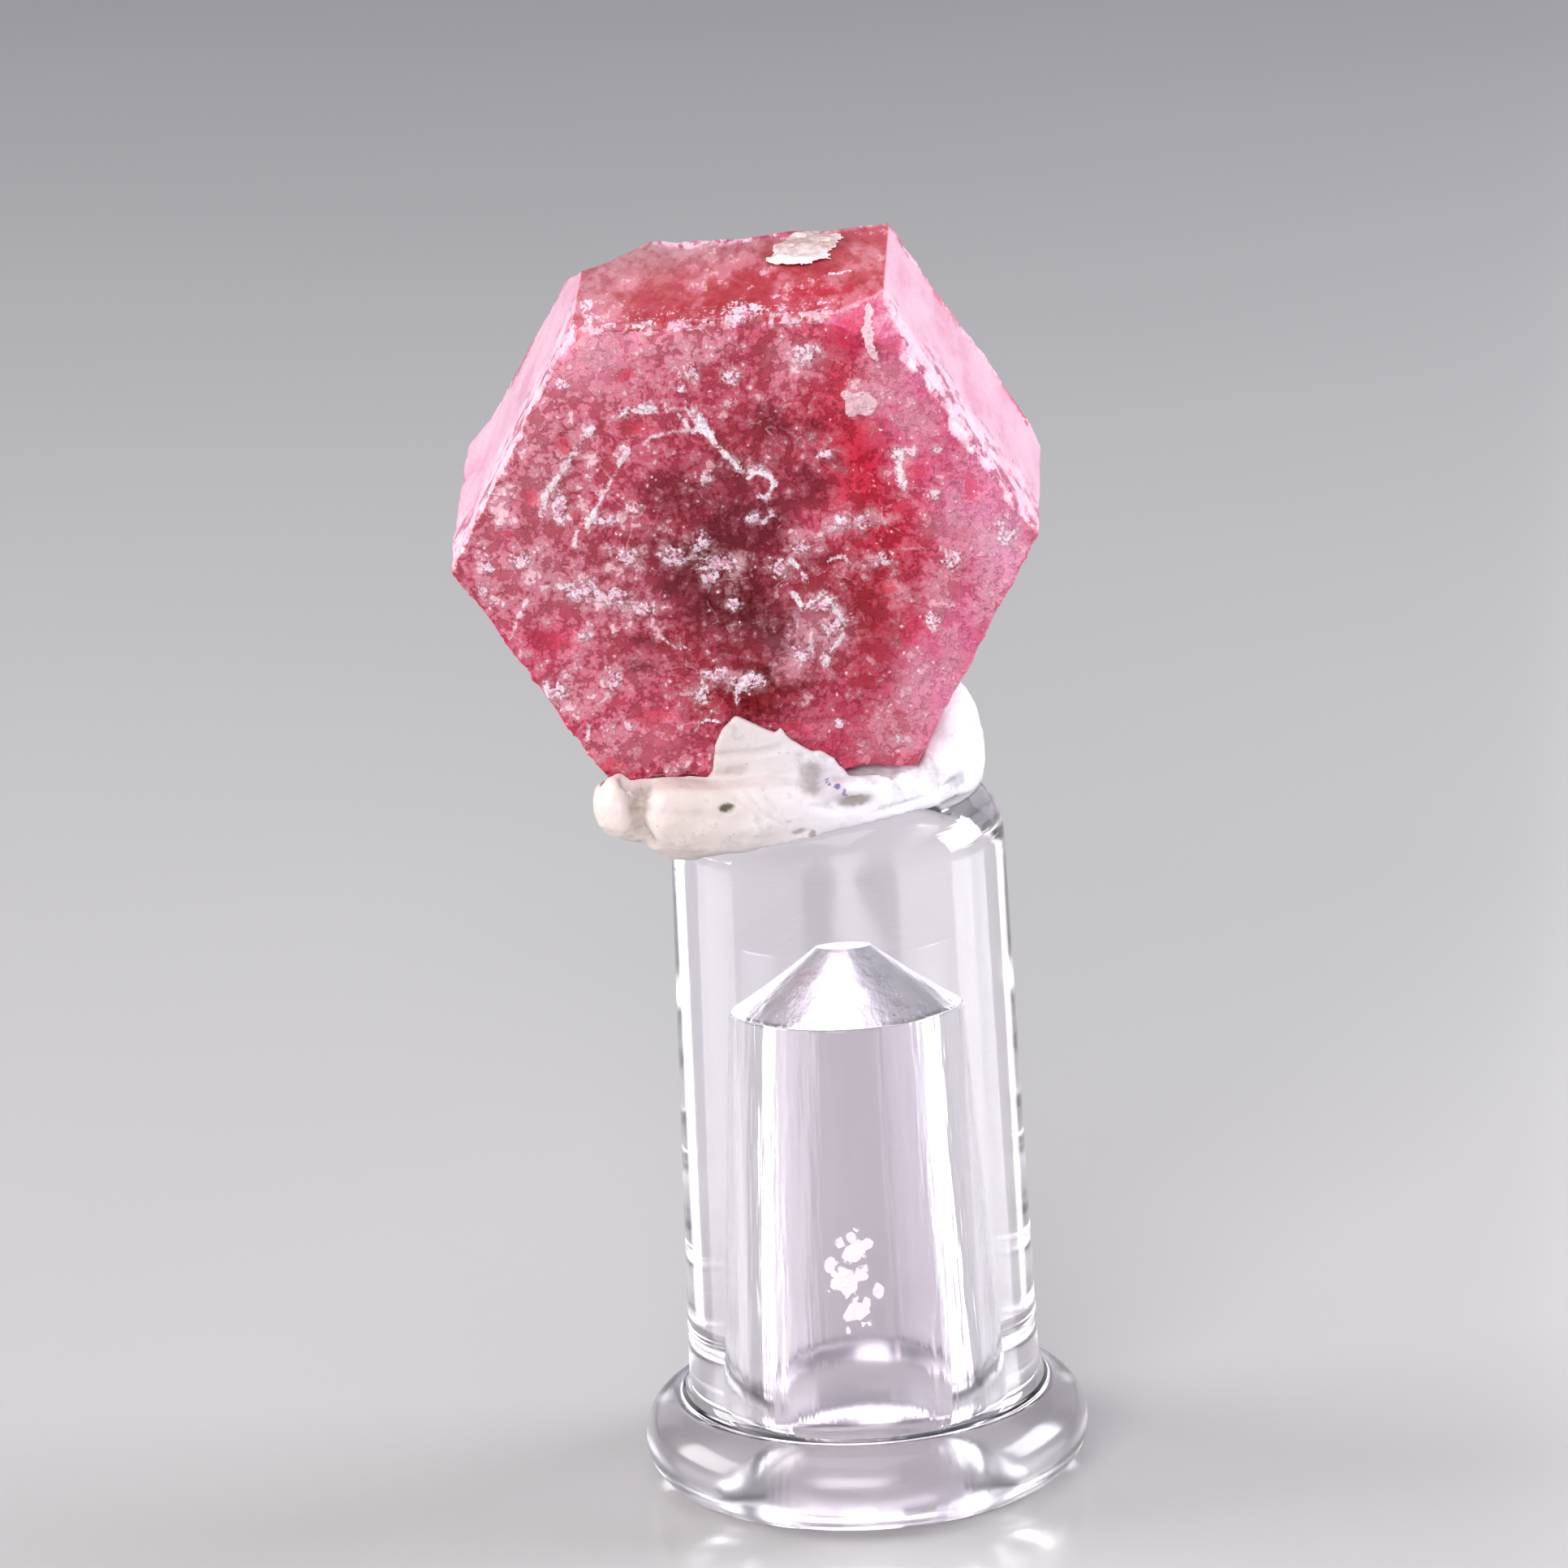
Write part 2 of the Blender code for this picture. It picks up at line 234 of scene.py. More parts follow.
def weights(piece, name, values):
    group = piece.vertex_groups.new(name=name)
    for index, value in enumerate(values):
        if value > 0.001:
            group.add([index], float(value), "REPLACE")
    return name


def soft(value, low, high):  # the same soft step as the shaders use
    t = np.clip((value - low) / (high - low), 0.0, 1.0)
    return t * t * (3 - 2 * t)


def noiseAt(places, scale, shift=0.0):
    aside = Vector((shift, shift, shift))
    return np.array([noise.noise(Vector(p) * scale + aside) for p in places])


def fractalAt(places, scale, octaves=4):
    return np.array([noise.fractal(Vector(p) * scale, 0.9, 2.0, octaves) for p in places])


def pathGap(places, path):  # distance in mm to a line through (x, z) points, seen from the front
    flat = places[:, [0, 2]]
    best = np.full(len(places), 9.0)
    for start, end in zip(path, path[1:]):
        start, end = np.array(start), np.array(end)
        along = end - start
        share = np.clip(((flat - start) @ along) / (along @ along), 0, 1)
        gap = np.linalg.norm(flat - start - share[:, None] * along, axis=1)
        best = np.minimum(best, gap)
    return best


def copyOfNode(node, name):  # a CAD node's shape in mm, as one merged mesh
    piece = bpy.data.objects.new(name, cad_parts[node].data.copy())
    bpy.context.scene.collection.objects.link(piece)
    piece.data.materials.clear()
    only(piece)
    piece.scale = (perMetre,) * 3
    bpy.ops.object.transform_apply(location=False, rotation=False, scale=True)
    editAll(piece)
    bpy.ops.mesh.remove_doubles(threshold=0.002)
    bpy.ops.object.mode_set(mode="OBJECT")
    return piece


def finishPiece(piece, material, node, place=None, smoothAngle=60):
    only(piece)
    if place is not None:
        piece.matrix_world = place
        bpy.ops.object.transform_apply(location=True, rotation=True, scale=True)
    piece.scale = (1 / perMetre,) * 3
    bpy.ops.object.transform_apply(location=True, rotation=True, scale=True)
    bpy.ops.object.shade_smooth_by_angle(angle=math.radians(smoothAngle))
    piece.data.materials.clear()
    piece.data.materials.append(material)
    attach(piece, "root")
    if node:
        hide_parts(node)
    piece.data.calc_loop_triangles()
    print(piece.name, "made of", len(piece.data.loop_triangles), "triangles")
    return piece


view = {"place": (0.332, -121.967, 45.022), "down": 14.85, "roll": 3.0, "lens": 165.9}


def makeCamera():
    turn = Euler((math.radians(90 - view["down"]), 0, 0)).to_matrix()
    turn = turn @ Matrix.Rotation(math.radians(-view["roll"]), 3, "Z")
    bpy.ops.object.camera_add(location=[v / perMetre for v in view["place"]],
                              rotation=turn.to_euler())
    camera = bpy.context.object
    camera.name = "specimenCamera"
    camera.data.lens = view["lens"]
    camera.data.sensor_width = 36.0
    camera.data.clip_start = 0.005
    camera.data.dof.use_dof = False
    bpy.context.scene.camera = camera


studio = {
    "floorColour": srgb("c9c7c7"), "floorShade": srgb("bdbbbb"),
    "floorSize": 4.0, "floorRoughness": 0.16, "sky": srgb("b4b7c2"), "skyStrength": 0.4,
    "aim": (0, 0, 12),
    # name: place in mm, width and height in mm, watts, colour, and which rays meet the lamp:
    # d for diffuse, g for glossy, t for through clear pieces
    "lamps": {
        "softLeft": ((-190, 24, 74), (130, 100), 0.38, (1.0, 0.98, 0.98), "dgt"),
        "softRight": ((190, 34, 74), (130, 100), 0.5, (0.94, 0.96, 1.0), "dgt"),
        "softTop": ((-30, -60, 250), (190, 150), 0.2, (1.0, 0.99, 0.98), "dgt"),
        "fillFront": ((-50, -260, 110), (160, 110), 0.68, (1.0, 0.98, 0.97), "dt"),
        "backRight": ((110, 220, 60), (150, 110), 0.03, (0.97, 0.97, 1.0), "dgt"),
        "backLeft": ((-110, 220, 70), (120, 110), 0.04, (1.0, 0.98, 0.97), "dgt"),
        "lowCard": ((0, 200, 40), (130, 50), 0.04, (0.98, 0.97, 1.0), "t"),
        "highCard": ((-25, 200, 112), (100, 90), 0.07, (0.99, 0.98, 1.0), "t"),
    },
}


def makeStudio():
    bpy.ops.mesh.primitive_plane_add(size=studio["floorSize"], location=(0, 0, 0))
    floor = bpy.context.object
    floor.name = "paleFloor"
    paint = Paint("paleFloorPaint")
    cloud = paint.noise(paint.node("ShaderNodeTexCoord", {}, {}, "Object"), 14.0, 3.0)
    tone = paint.mix(cloud, studio["floorColour"], studio["floorShade"])
    floor.data.materials.append(paint.done(paint.shader({
        "Base Color": tone, "Roughness": studio["floorRoughness"]})))
    for name, (place, size, watts, colour, rays) in studio["lamps"].items():
        start = Vector(place) / perMetre
        aim = Vector(studio["aim"]) / perMetre - start
        aim = aim.to_track_quat("-Z", "Y").to_euler()
        bpy.ops.object.light_add(type="AREA", location=start, rotation=aim)
        lamp = bpy.context.object
        lamp.name = name
        lamp.data.shape = "RECTANGLE"
        lamp.data.size = size[0] / perMetre
        lamp.data.size_y = size[1] / perMetre
        lamp.data.energy = watts
        lamp.data.color = colour
        lamp.visible_camera = False
        lamp.visible_diffuse = "d" in rays
        lamp.visible_glossy = "g" in rays
        lamp.visible_transmission = "t" in rays
    world = bpy.data.worlds.new("studioSky")
    world.use_nodes = True
    sky = world.node_tree.nodes["Background"]
    sky.inputs["Color"].default_value = studio["sky"]
    sky.inputs["Strength"].default_value = studio["skyStrength"]
    bpy.context.scene.world = world
    bpy.context.scene.view_settings.view_transform = "Standard"


makeCamera()
makeStudio()
print("camera, floor and lights are set")


stand = {
    "axisX": 1.22, "height": 12.76, "topRadius": 2.92, "lowRadius": 3.12, "shoulder": 1.13,
    "flangeRadius": 3.95, "flangeThickness": 1.62, "fillet": 0.3, "footBevel": 0.12,
    "boreDepth": 8.75, "boreMouth": 1.7, "boreTop": 1.36, "coneHeight": 1.2, "coneTip": 0.32,
    "boreRim": 0.1, "steps": 160, "smoothAngle": 34,
    "tint": srgb("f9f4fa"), "polish": 0.035, "boreRoughness": 0.12,
    "flangeRoughness": 0.13, "coneRoughness": 0.22, "smearRoughness": 0.03,
    "refraction": 1.49, "scratchDepth": 0.06, "chalk": srgb("f4e9f2"),
    # stuck crumbs on the front: across and up, half width, half height
    "crumbs": ((1.12, 5.15, 0.3, 0.45), (1.02, 4.6, 0.45, 0.4), (1.1, 3.95, 0.32, 0.45),
               (1.5, 4.3, 0.14, 0.25), (0.68, 4.8, 0.16, 0.2)),
}


def arcPoints(across, high, radius, start, end, steps):
    angles = [math.radians(start + (end - start) * i / steps) for i in range(steps + 1)]
    return [(across + radius * math.cos(a), high + radius * math.sin(a)) for a in angles]


def standOutline():
    bead = stand["flangeThickness"] / 2
    edge = stand["topRadius"] - stand["shoulder"]
    outline = [(0.0, stand["height"])]
    outline += arcPoints(edge, stand["height"] - stand["shoulder"], stand["shoulder"], 90, 0, 20)
    outline += arcPoints(stand["lowRadius"] + stand["fillet"],
                         stand["flangeThickness"] + stand["fillet"], stand["fillet"], 180, 270, 8)
    outline += arcPoints(stand["flangeRadius"] - bead, bead, bead, 90, -75, 26)
    outline.append((stand["flangeRadius"] - bead, 0.0))
    outline.append((stand["boreMouth"] + stand["footBevel"], 0.0))
    outline += arcPoints(stand["boreMouth"] + stand["footBevel"], stand["footBevel"],
                         stand["footBevel"], 270, 180, 5)[1:]
    rim = stand["boreRim"]
    outline.append((stand["boreTop"] + 0.003, stand["boreDepth"] - rim))
    outline += arcPoints(stand["boreTop"] - rim, stand["boreDepth"] - rim, rim, 0, 50, 4)
    outline.append((stand["coneTip"], stand["boreDepth"] + stand["coneHeight"]))
    outline.append((0.0, stand["boreDepth"] + stand["coneHeight"]))
    return outline


def makeStand():
    outline = standOutline()
    bpy.ops.mesh.primitive_plane_add(size=1.0)
    piece = bpy.context.object
    piece.name = "clearStand"
    editAll(piece)
    bpy.ops.mesh.merge(type="CENTER")
    pickAll()
    bpy.ops.transform.translate(value=(stand["axisX"] + outline[0][0], 0, outline[0][1]))
    for (wasAcross, wasHigh), (across, high) in zip(outline, outline[1:]):
        step = {"value": (across - wasAcross, 0, high - wasHigh)}
        bpy.ops.mesh.extrude_region_move(TRANSFORM_OT_translate=step)
    pickAll()
    bpy.ops.mesh.spin(steps=stand["steps"], angle=math.tau, center=(stand["axisX"], 0, 0),
                      axis=(0, 0, 1))
    pickAll()
    bpy.ops.mesh.remove_doubles(threshold=0.0005)
    bpy.ops.mesh.normals_make_consistent(inside=False)
    bpy.ops.object.mode_set(mode="OBJECT")
    return piece


def clearPlastic():
    paint = Paint("clearAcrylic")
    coords = paint.place((stand["axisX"], 0, 0))
    across = paint.vector("LENGTH", paint.vector("MULTIPLY", coords, (1, 1, 0)), out="Value")
    bore = across.step(stand["boreMouth"] + 0.12, stand["boreMouth"] + 0.02)
    high = paint.part(coords, "Z")
    flange = across.step(stand["lowRadius"], stand["lowRadius"] + 0.3)
    smear = paint.noise(coords, 0.9, 5.0).step(0.52, 0.75)
    rough = bore * stand["boreRoughness"] + smear * stand["smearRoughness"] + stand["polish"]
    cone = bore * high.step(stand["boreDepth"] - 0.05, stand["boreDepth"] + 0.05)
    rough = rough + flange * stand["flangeRoughness"] + cone * stand["coneRoughness"]
    # lines drawn down the bore, and turning marks round the top of the wall
    drawn = paint.noise(paint.vector("MULTIPLY", coords, (1, 1, 0.06)), 3.0, 3.0)
    turned = paint.noise(paint.vector("MULTIPLY", coords, (0.04, 0.04, 1)), 6.0, 4.0)
    turned = turned * high.step(10.8, 11.9) * across.step(2.4, 2.8)
    clear = paint.shader({
        "Base Color": stand["tint"], "Roughness": rough, "IOR": stand["refraction"],
        "Transmission Weight": 1.0,
        "Normal": paint.bump(drawn * bore + turned * 0.3, stand["scratchDepth"], 0.6)})
    # chalky crumbs stuck to the front
    grain = paint.noise(coords, 3.2, 6.0, 0.65)
    reach, chance = paint.grains(coords, 5.0)
    stuck = None
    for x, z, wide, tall in stand["crumbs"]:
        offset = paint.vector("SUBTRACT", coords, (x - stand["axisX"], -3.0, z))
        offset = paint.vector("DIVIDE", offset, (wide, 0.6, tall))
        inside = 1 - paint.vector("LENGTH", offset, out="Value")
        stuck = stuck.over(inside) if stuck else inside
    stuck = (stuck + (grain - 0.5) * 1.5 + (chance - 0.5) * 0.7 - reach * 0.5).step(0.02, 0.14)
    chalk = paint.shader({"Base Color": stand["chalk"], "Roughness": 0.6,
                          "Normal": paint.bump(grain, 0.1, 1.0)})
    return paint.done(paint.node("ShaderNodeMixShader", {}, {0: stuck, 1: clear, 2: chalk}))


clearStand = finishPiece(makeStand(), clearPlastic(), "stand",
                         smoothAngle=stand["smoothAngle"])


# The crystal is modelled in its own frame: X across the end face, Z up it and Y back.
beryl = {
    "centre": (-0.12, -2.6, 17.5), "noseDown": 8.4, "turnedLeft": 3.4, "rolled": 1.15,
    # direction of each long face in degrees, and how far it is from the middle
    "faces": ((150, 4.33), (90, 4.08), (30, 4.31), (-30, 4.34), (-90, 4.16), (-150, 4.4)),
    "length": 4.6, "netSize": 0.07, "smoothAngle": 50,
    # heights and depths of the relief, in mm
    "endRelief": 0.055, "sideRelief": 0.018, "breakRelief": 0.3, "ridgeHeight": 0.012,
    "biteDepth": 0.03, "rimBite": 0.05, "frostHeight": 0.03, "glassDepth": 0.03,
    "veinHeight": 0.012, "edgeWear": (0.06, 0.1), "wornSlope": 0.9, "crumbleDepth": 0.12,
    # size and height of the grains that are really raised
    "coarseGrain": (0.2, 0.07), "fineGrain": (0.13, -0.045),
    # corner number, then how far a chip runs to the corner before, the corner after, and along
    "frontChips": ((2, 1.15, 0.85, 1.25), (1, 0.55, 0.5, 0.45)),
    "backChips": ((1, 0.85, 1.2, 1.5), (3, 0.35, 0.3, 0.4), (5, 0.9, 0.7, 0.8)),
    # lumps on the left corner: how far back, radius, height
    "knobs": ((1.0, 0.7, 0.08), (2.1, 0.8, 0.12), (3.0, 0.7, 0.1), (3.9, 0.9, 0.16)),
    # hollows in the end face: across, up, radius, depth
    "hollows": ((-0.5, -0.35, 0.75, 0.13), (0.55, 0.5, 0.6, 0.1), (-2.7, 1.3, 0.7, 0.09),
                (1.6, -1.7, 0.8, 0.1), (2.5, 1.6, 0.6, 0.08), (-1.6, -2.4, 0.65, 0.08),
                (-3.3, -0.6, 0.6, 0.07)),
    "rims": (  # how far inside the upper right edge its worn steps reach, by height up the edge
        (4.3, 0.05), (3.9, 0.16), (3.5, 0.05), (3.35, 0.2), (2.3, 0.06), (2.15, 0.17),
        (2.0, 0.22), (0.9, 0.06), (0.75, 0.14), (0.2, 0.05)),
    "tones": {
        "rose": srgb("cd5f78"), "greyPink": srgb("cb808f"), "palePink": srgb("eb9db2"),
        "brownRed": srgb("a63845"), "maroon": srgb("5c0e19"), "mauve": srgb("7c2f3c"),
        "hotRed": srgb("cb1a3a"), "hotPink": srgb("da2458"), "brickRed": srgb("a62534"),
        "magenta": srgb("e47aa6"), "lilac": srgb("f0aacd"), "raspberry": srgb("bd1a47"),
        "raspPink": srgb("d8436f"), "deepRed": srgb("780a16"), "mauveRose": srgb("b05c70"),
        "ash": srgb("c490a0"), "topRed": srgb("bb4450"), "salmon": srgb("d07a80"),
        "dusty": srgb("bd949a"), "milky": srgb("dfa3b3"),
    },
    "sideSheenPink": srgb("d49eb6"), "sideRose": srgb("d4758f"), "rimPink": srgb("f7d3e2"),
    "dimCrumb": srgb("b0686e"), "crumb": srgb("ea9fb1"), "paleCrumb": srgb("f6d5dd"),
    "white": srgb("fff0f8"), "haze": srgb("cda2a7"), "ice": srgb("d795b0"),
    "frostWhite": srgb("f6e2ee"), "gap": srgb("8a3450"), "plate": srgb("efcdd6"),
    "shadeOne": (0.74, 0.3, 0.36, 1.0), "shadeTwo": (0.5, 0.14, 0.18, 1.0),
    # how fine each noise of the skin is, in turns per mm
    "scales": {"patch": 1.3, "clump": 2.1, "crumb": 5.5, "tiny": 17.0, "grain": 4.4,
               "fineGrain": 12.0, "crack": 1.3, "streak": 1.3, "drag": 2.6, "ledge": 3.6},
    # how strongly each layer of the end face is laid on
    "layers": {"shadeOne": 0.36, "shadeTwo": 0.5, "glass": 0.6, "haze": 0.5, "frost": 0.85,
               "fringe": 0.7, "crack": 0.25, "vein": 0.95, "rim": 0.75, "glint": 0.8,
               "plate": 0.8, "plateRim": 0.25, "gap": 0.2},
    "grainBump": 0.05, "refraction": 1.57, "scatter": 0.15, "scatterReach": 0.25, "specular": 0.15,
    "coat": 0.05, "coatRoughness": 0.08,
    "glassRed": srgb("c60f34"), "pit": srgb("a04a68"), "edgeTurn": math.radians(-60), "drawn": 2.4,
    "farWashes": 36,
}

# Broad washes of colour on the end face: across, up, half width, half height, tone, strength.
washes = (
    (-3.7, 1.89, 1.51, 2.75, "greyPink", 0.75), (-2.48, 3.73, 1.22, 1.01, "palePink", 0.85),
    (-3.22, -1.08, 1.66, 1.63, "greyPink", 0.55), (0.44, 2.1, 1.3, 1.4, "brownRed", 0.65),
    (0.79, 3.5, 1.5, 0.7, "brownRed", 0.3), (-0.15, 0.35, 1.25, 1.4, "maroon", 0.62),
    (-0.17, -1.12, 1.3, 0.95, "maroon", 0.95), (-0.96, -0.29, 0.96, 0.74, "mauve", 0.6),
    (-1.36, 0.91, 0.82, 0.88, "brownRed", 0.5), (-1.32, -1.76, 1.25, 0.74, "brownRed", 0.6),
    (2.04, 1.65, 0.68, 1.6, "hotRed", 0.95), (1.95, 3.8, 0.54, 0.57, "raspberry", 1.0),
    (1.58, 3.12, 0.48, 0.86, "hotRed", 0.7), (2.65, 0.15, 1.1, 1.03, "hotRed", 0.8),
    (2.03, -1.15, 0.83, 1.18, "brickRed", 0.8), (1.09, -0.67, 0.83, 1.03, "brickRed", 0.5),
    (2.85, -1.41, 0.41, 0.45, "hotRed", 0.7), (2.11, -2.35, 0.97, 0.75, "brickRed", 0.6),
    (3.27, 1.6, 0.82, 0.73, "hotPink", 0.55), (3.06, 2.91, 0.82, 1.3, "magenta", 0.75),
    (3.92, 0.84, 0.82, 1.31, "magenta", 0.7), (4.42, -0.21, 0.82, 1.32, "lilac", 0.8),
    (3.67, -1.67, 0.69, 1.04, "magenta", 0.8), (3.05, -2.99, 0.69, 1.05, "magenta", 0.8),
    (1.49, -3.53, 0.97, 0.68, "raspberry", 0.85), (0.08, -2.64, 0.85, 0.7, "deepRed", 1.0),
    (-0.97, -2.83, 0.69, 0.6, "brickRed", 0.6), (-3.96, -1.65, 0.83, 0.6, "raspPink", 0.6),
    (-2.44, -3.9, 0.63, 0.6, "raspberry", 0.8), (-3.21, -2.89, 0.83, 0.6, "raspPink", 0.55),
    (-1.84, 3.12, 0.3, 0.29, "brickRed", 0.7), (-2.87, 2.00, 0.3, 0.36, "brickRed", 0.6),
    (-2.95, 0.83, 0.25, 0.29, "brickRed", 0.6), (-2.02, 2.48, 0.55, 0.2, "brickRed", 0.5),
    (-3.38, -1.38, 0.69, 0.45, "raspPink", 0.5), (-1.94, -2.64, 0.83, 0.6, "rose", 0.4),
    (0.94, 0.37, 0.96, 0.59, "rose", 0.6), (-2.24, 1.24, 0.82, 0.73, "rose", 0.5),
    (-2.2, -0.23, 0.83, 0.59, "mauveRose", 0.6), (-2.52, -0.89, 0.83, 0.3, "ash", 0.7),
    (1.12, -1.41, 0.48, 0.67, "ash", 0.75), (-0.54, -0.23, 0.45, 0.26, "mauveRose", 0.5),
    (1.1, 3.22, 0.54, 0.5, "palePink", 0.6), (2.1, 2.67, 0.34, 0.43, "palePink", 0.7),
    (-1.2, 3.95, 1.6, 0.28, "palePink", 0.5), (0.9, 3.95, 0.8, 0.24, "rose", 0.5),
    (-0.3, 3.1, 1.3, 0.5, "rose", 0.45), (-1.9, 3.1, 0.8, 0.7, "palePink", 0.4),
    (-1.84, -3.53, 0.55, 0.45, "palePink", 0.75), (-2.77, -2.6, 0.5, 0.5, "palePink", 0.35),
    (-3.35, 2.75, 0.5, 0.9, "palePink", 0.55), (-4.2, -0.2, 0.4, 0.8, "palePink", 0.5),
    (-3.05, -1.7, 0.5, 0.4, "palePink", 0.35), (-2.0, -2.35, 0.5, 0.35, "palePink", 0.35),
    (0.22, -2.38, 0.6, 0.42, "deepRed", 1.0), (1.1, -3.3, 0.5, 0.3, "palePink", 0.35),
    (2.3, -3.85, 0.9, 0.3, "palePink", 0.45), (3.29, -2.75, 0.4, 0.7, "lilac", 0.45),
    (3.8, 1.1, 0.4, 0.6, "lilac", 0.5), (4.0, -0.1, 0.4, 0.6, "lilac", 0.35),
    (-2.11, 0.05, 0.8, 0.45, "brownRed", 0.45), (-0.96, 0.14, 0.6, 0.5, "maroon", 0.45),
    (-2.7, 0.9, 0.6, 0.4, "brownRed", 0.3), (0.3, 0.15, 0.5, 0.4, "maroon", 0.35),
    (0.4, -1.6, 0.4, 0.3, "ash", 0.6), (-2.9, 3.1, 0.4, 0.5, "palePink", 0.5),
)
# The same on the top face, with the second number running back from the end face.
topWashes = (
    (-2.4, 0.9, 0.5, 1.2, "palePink", 0.8), (-2.2, 2.8, 0.5, 1.2, "palePink", 0.6),
    (-1.2, 2.2, 1.0, 1.2, "salmon", 0.7), (-0.2, 1.0, 1.1, 0.8, "topRed", 0.9),
    (0.6, 2.2, 1.0, 1.0, "topRed", 0.7), (1.6, 1.2, 0.9, 1.2, "hotRed", 0.6),
    (0.9, 1.0, 0.4, 0.5, "rose", 0.6), (2.2, 3.0, 0.6, 1.2, "salmon", 0.7),
    (-1.0, 4.4, 1.8, 0.8, "dusty", 0.9), (0.5, 4.6, 1.2, 0.6, "dusty", 0.7),
    (-1.3, 3.5, 1.4, 0.9, "dusty", 0.55), (-2.3, 2.6, 0.6, 1.6, "dusty", 0.5),
)

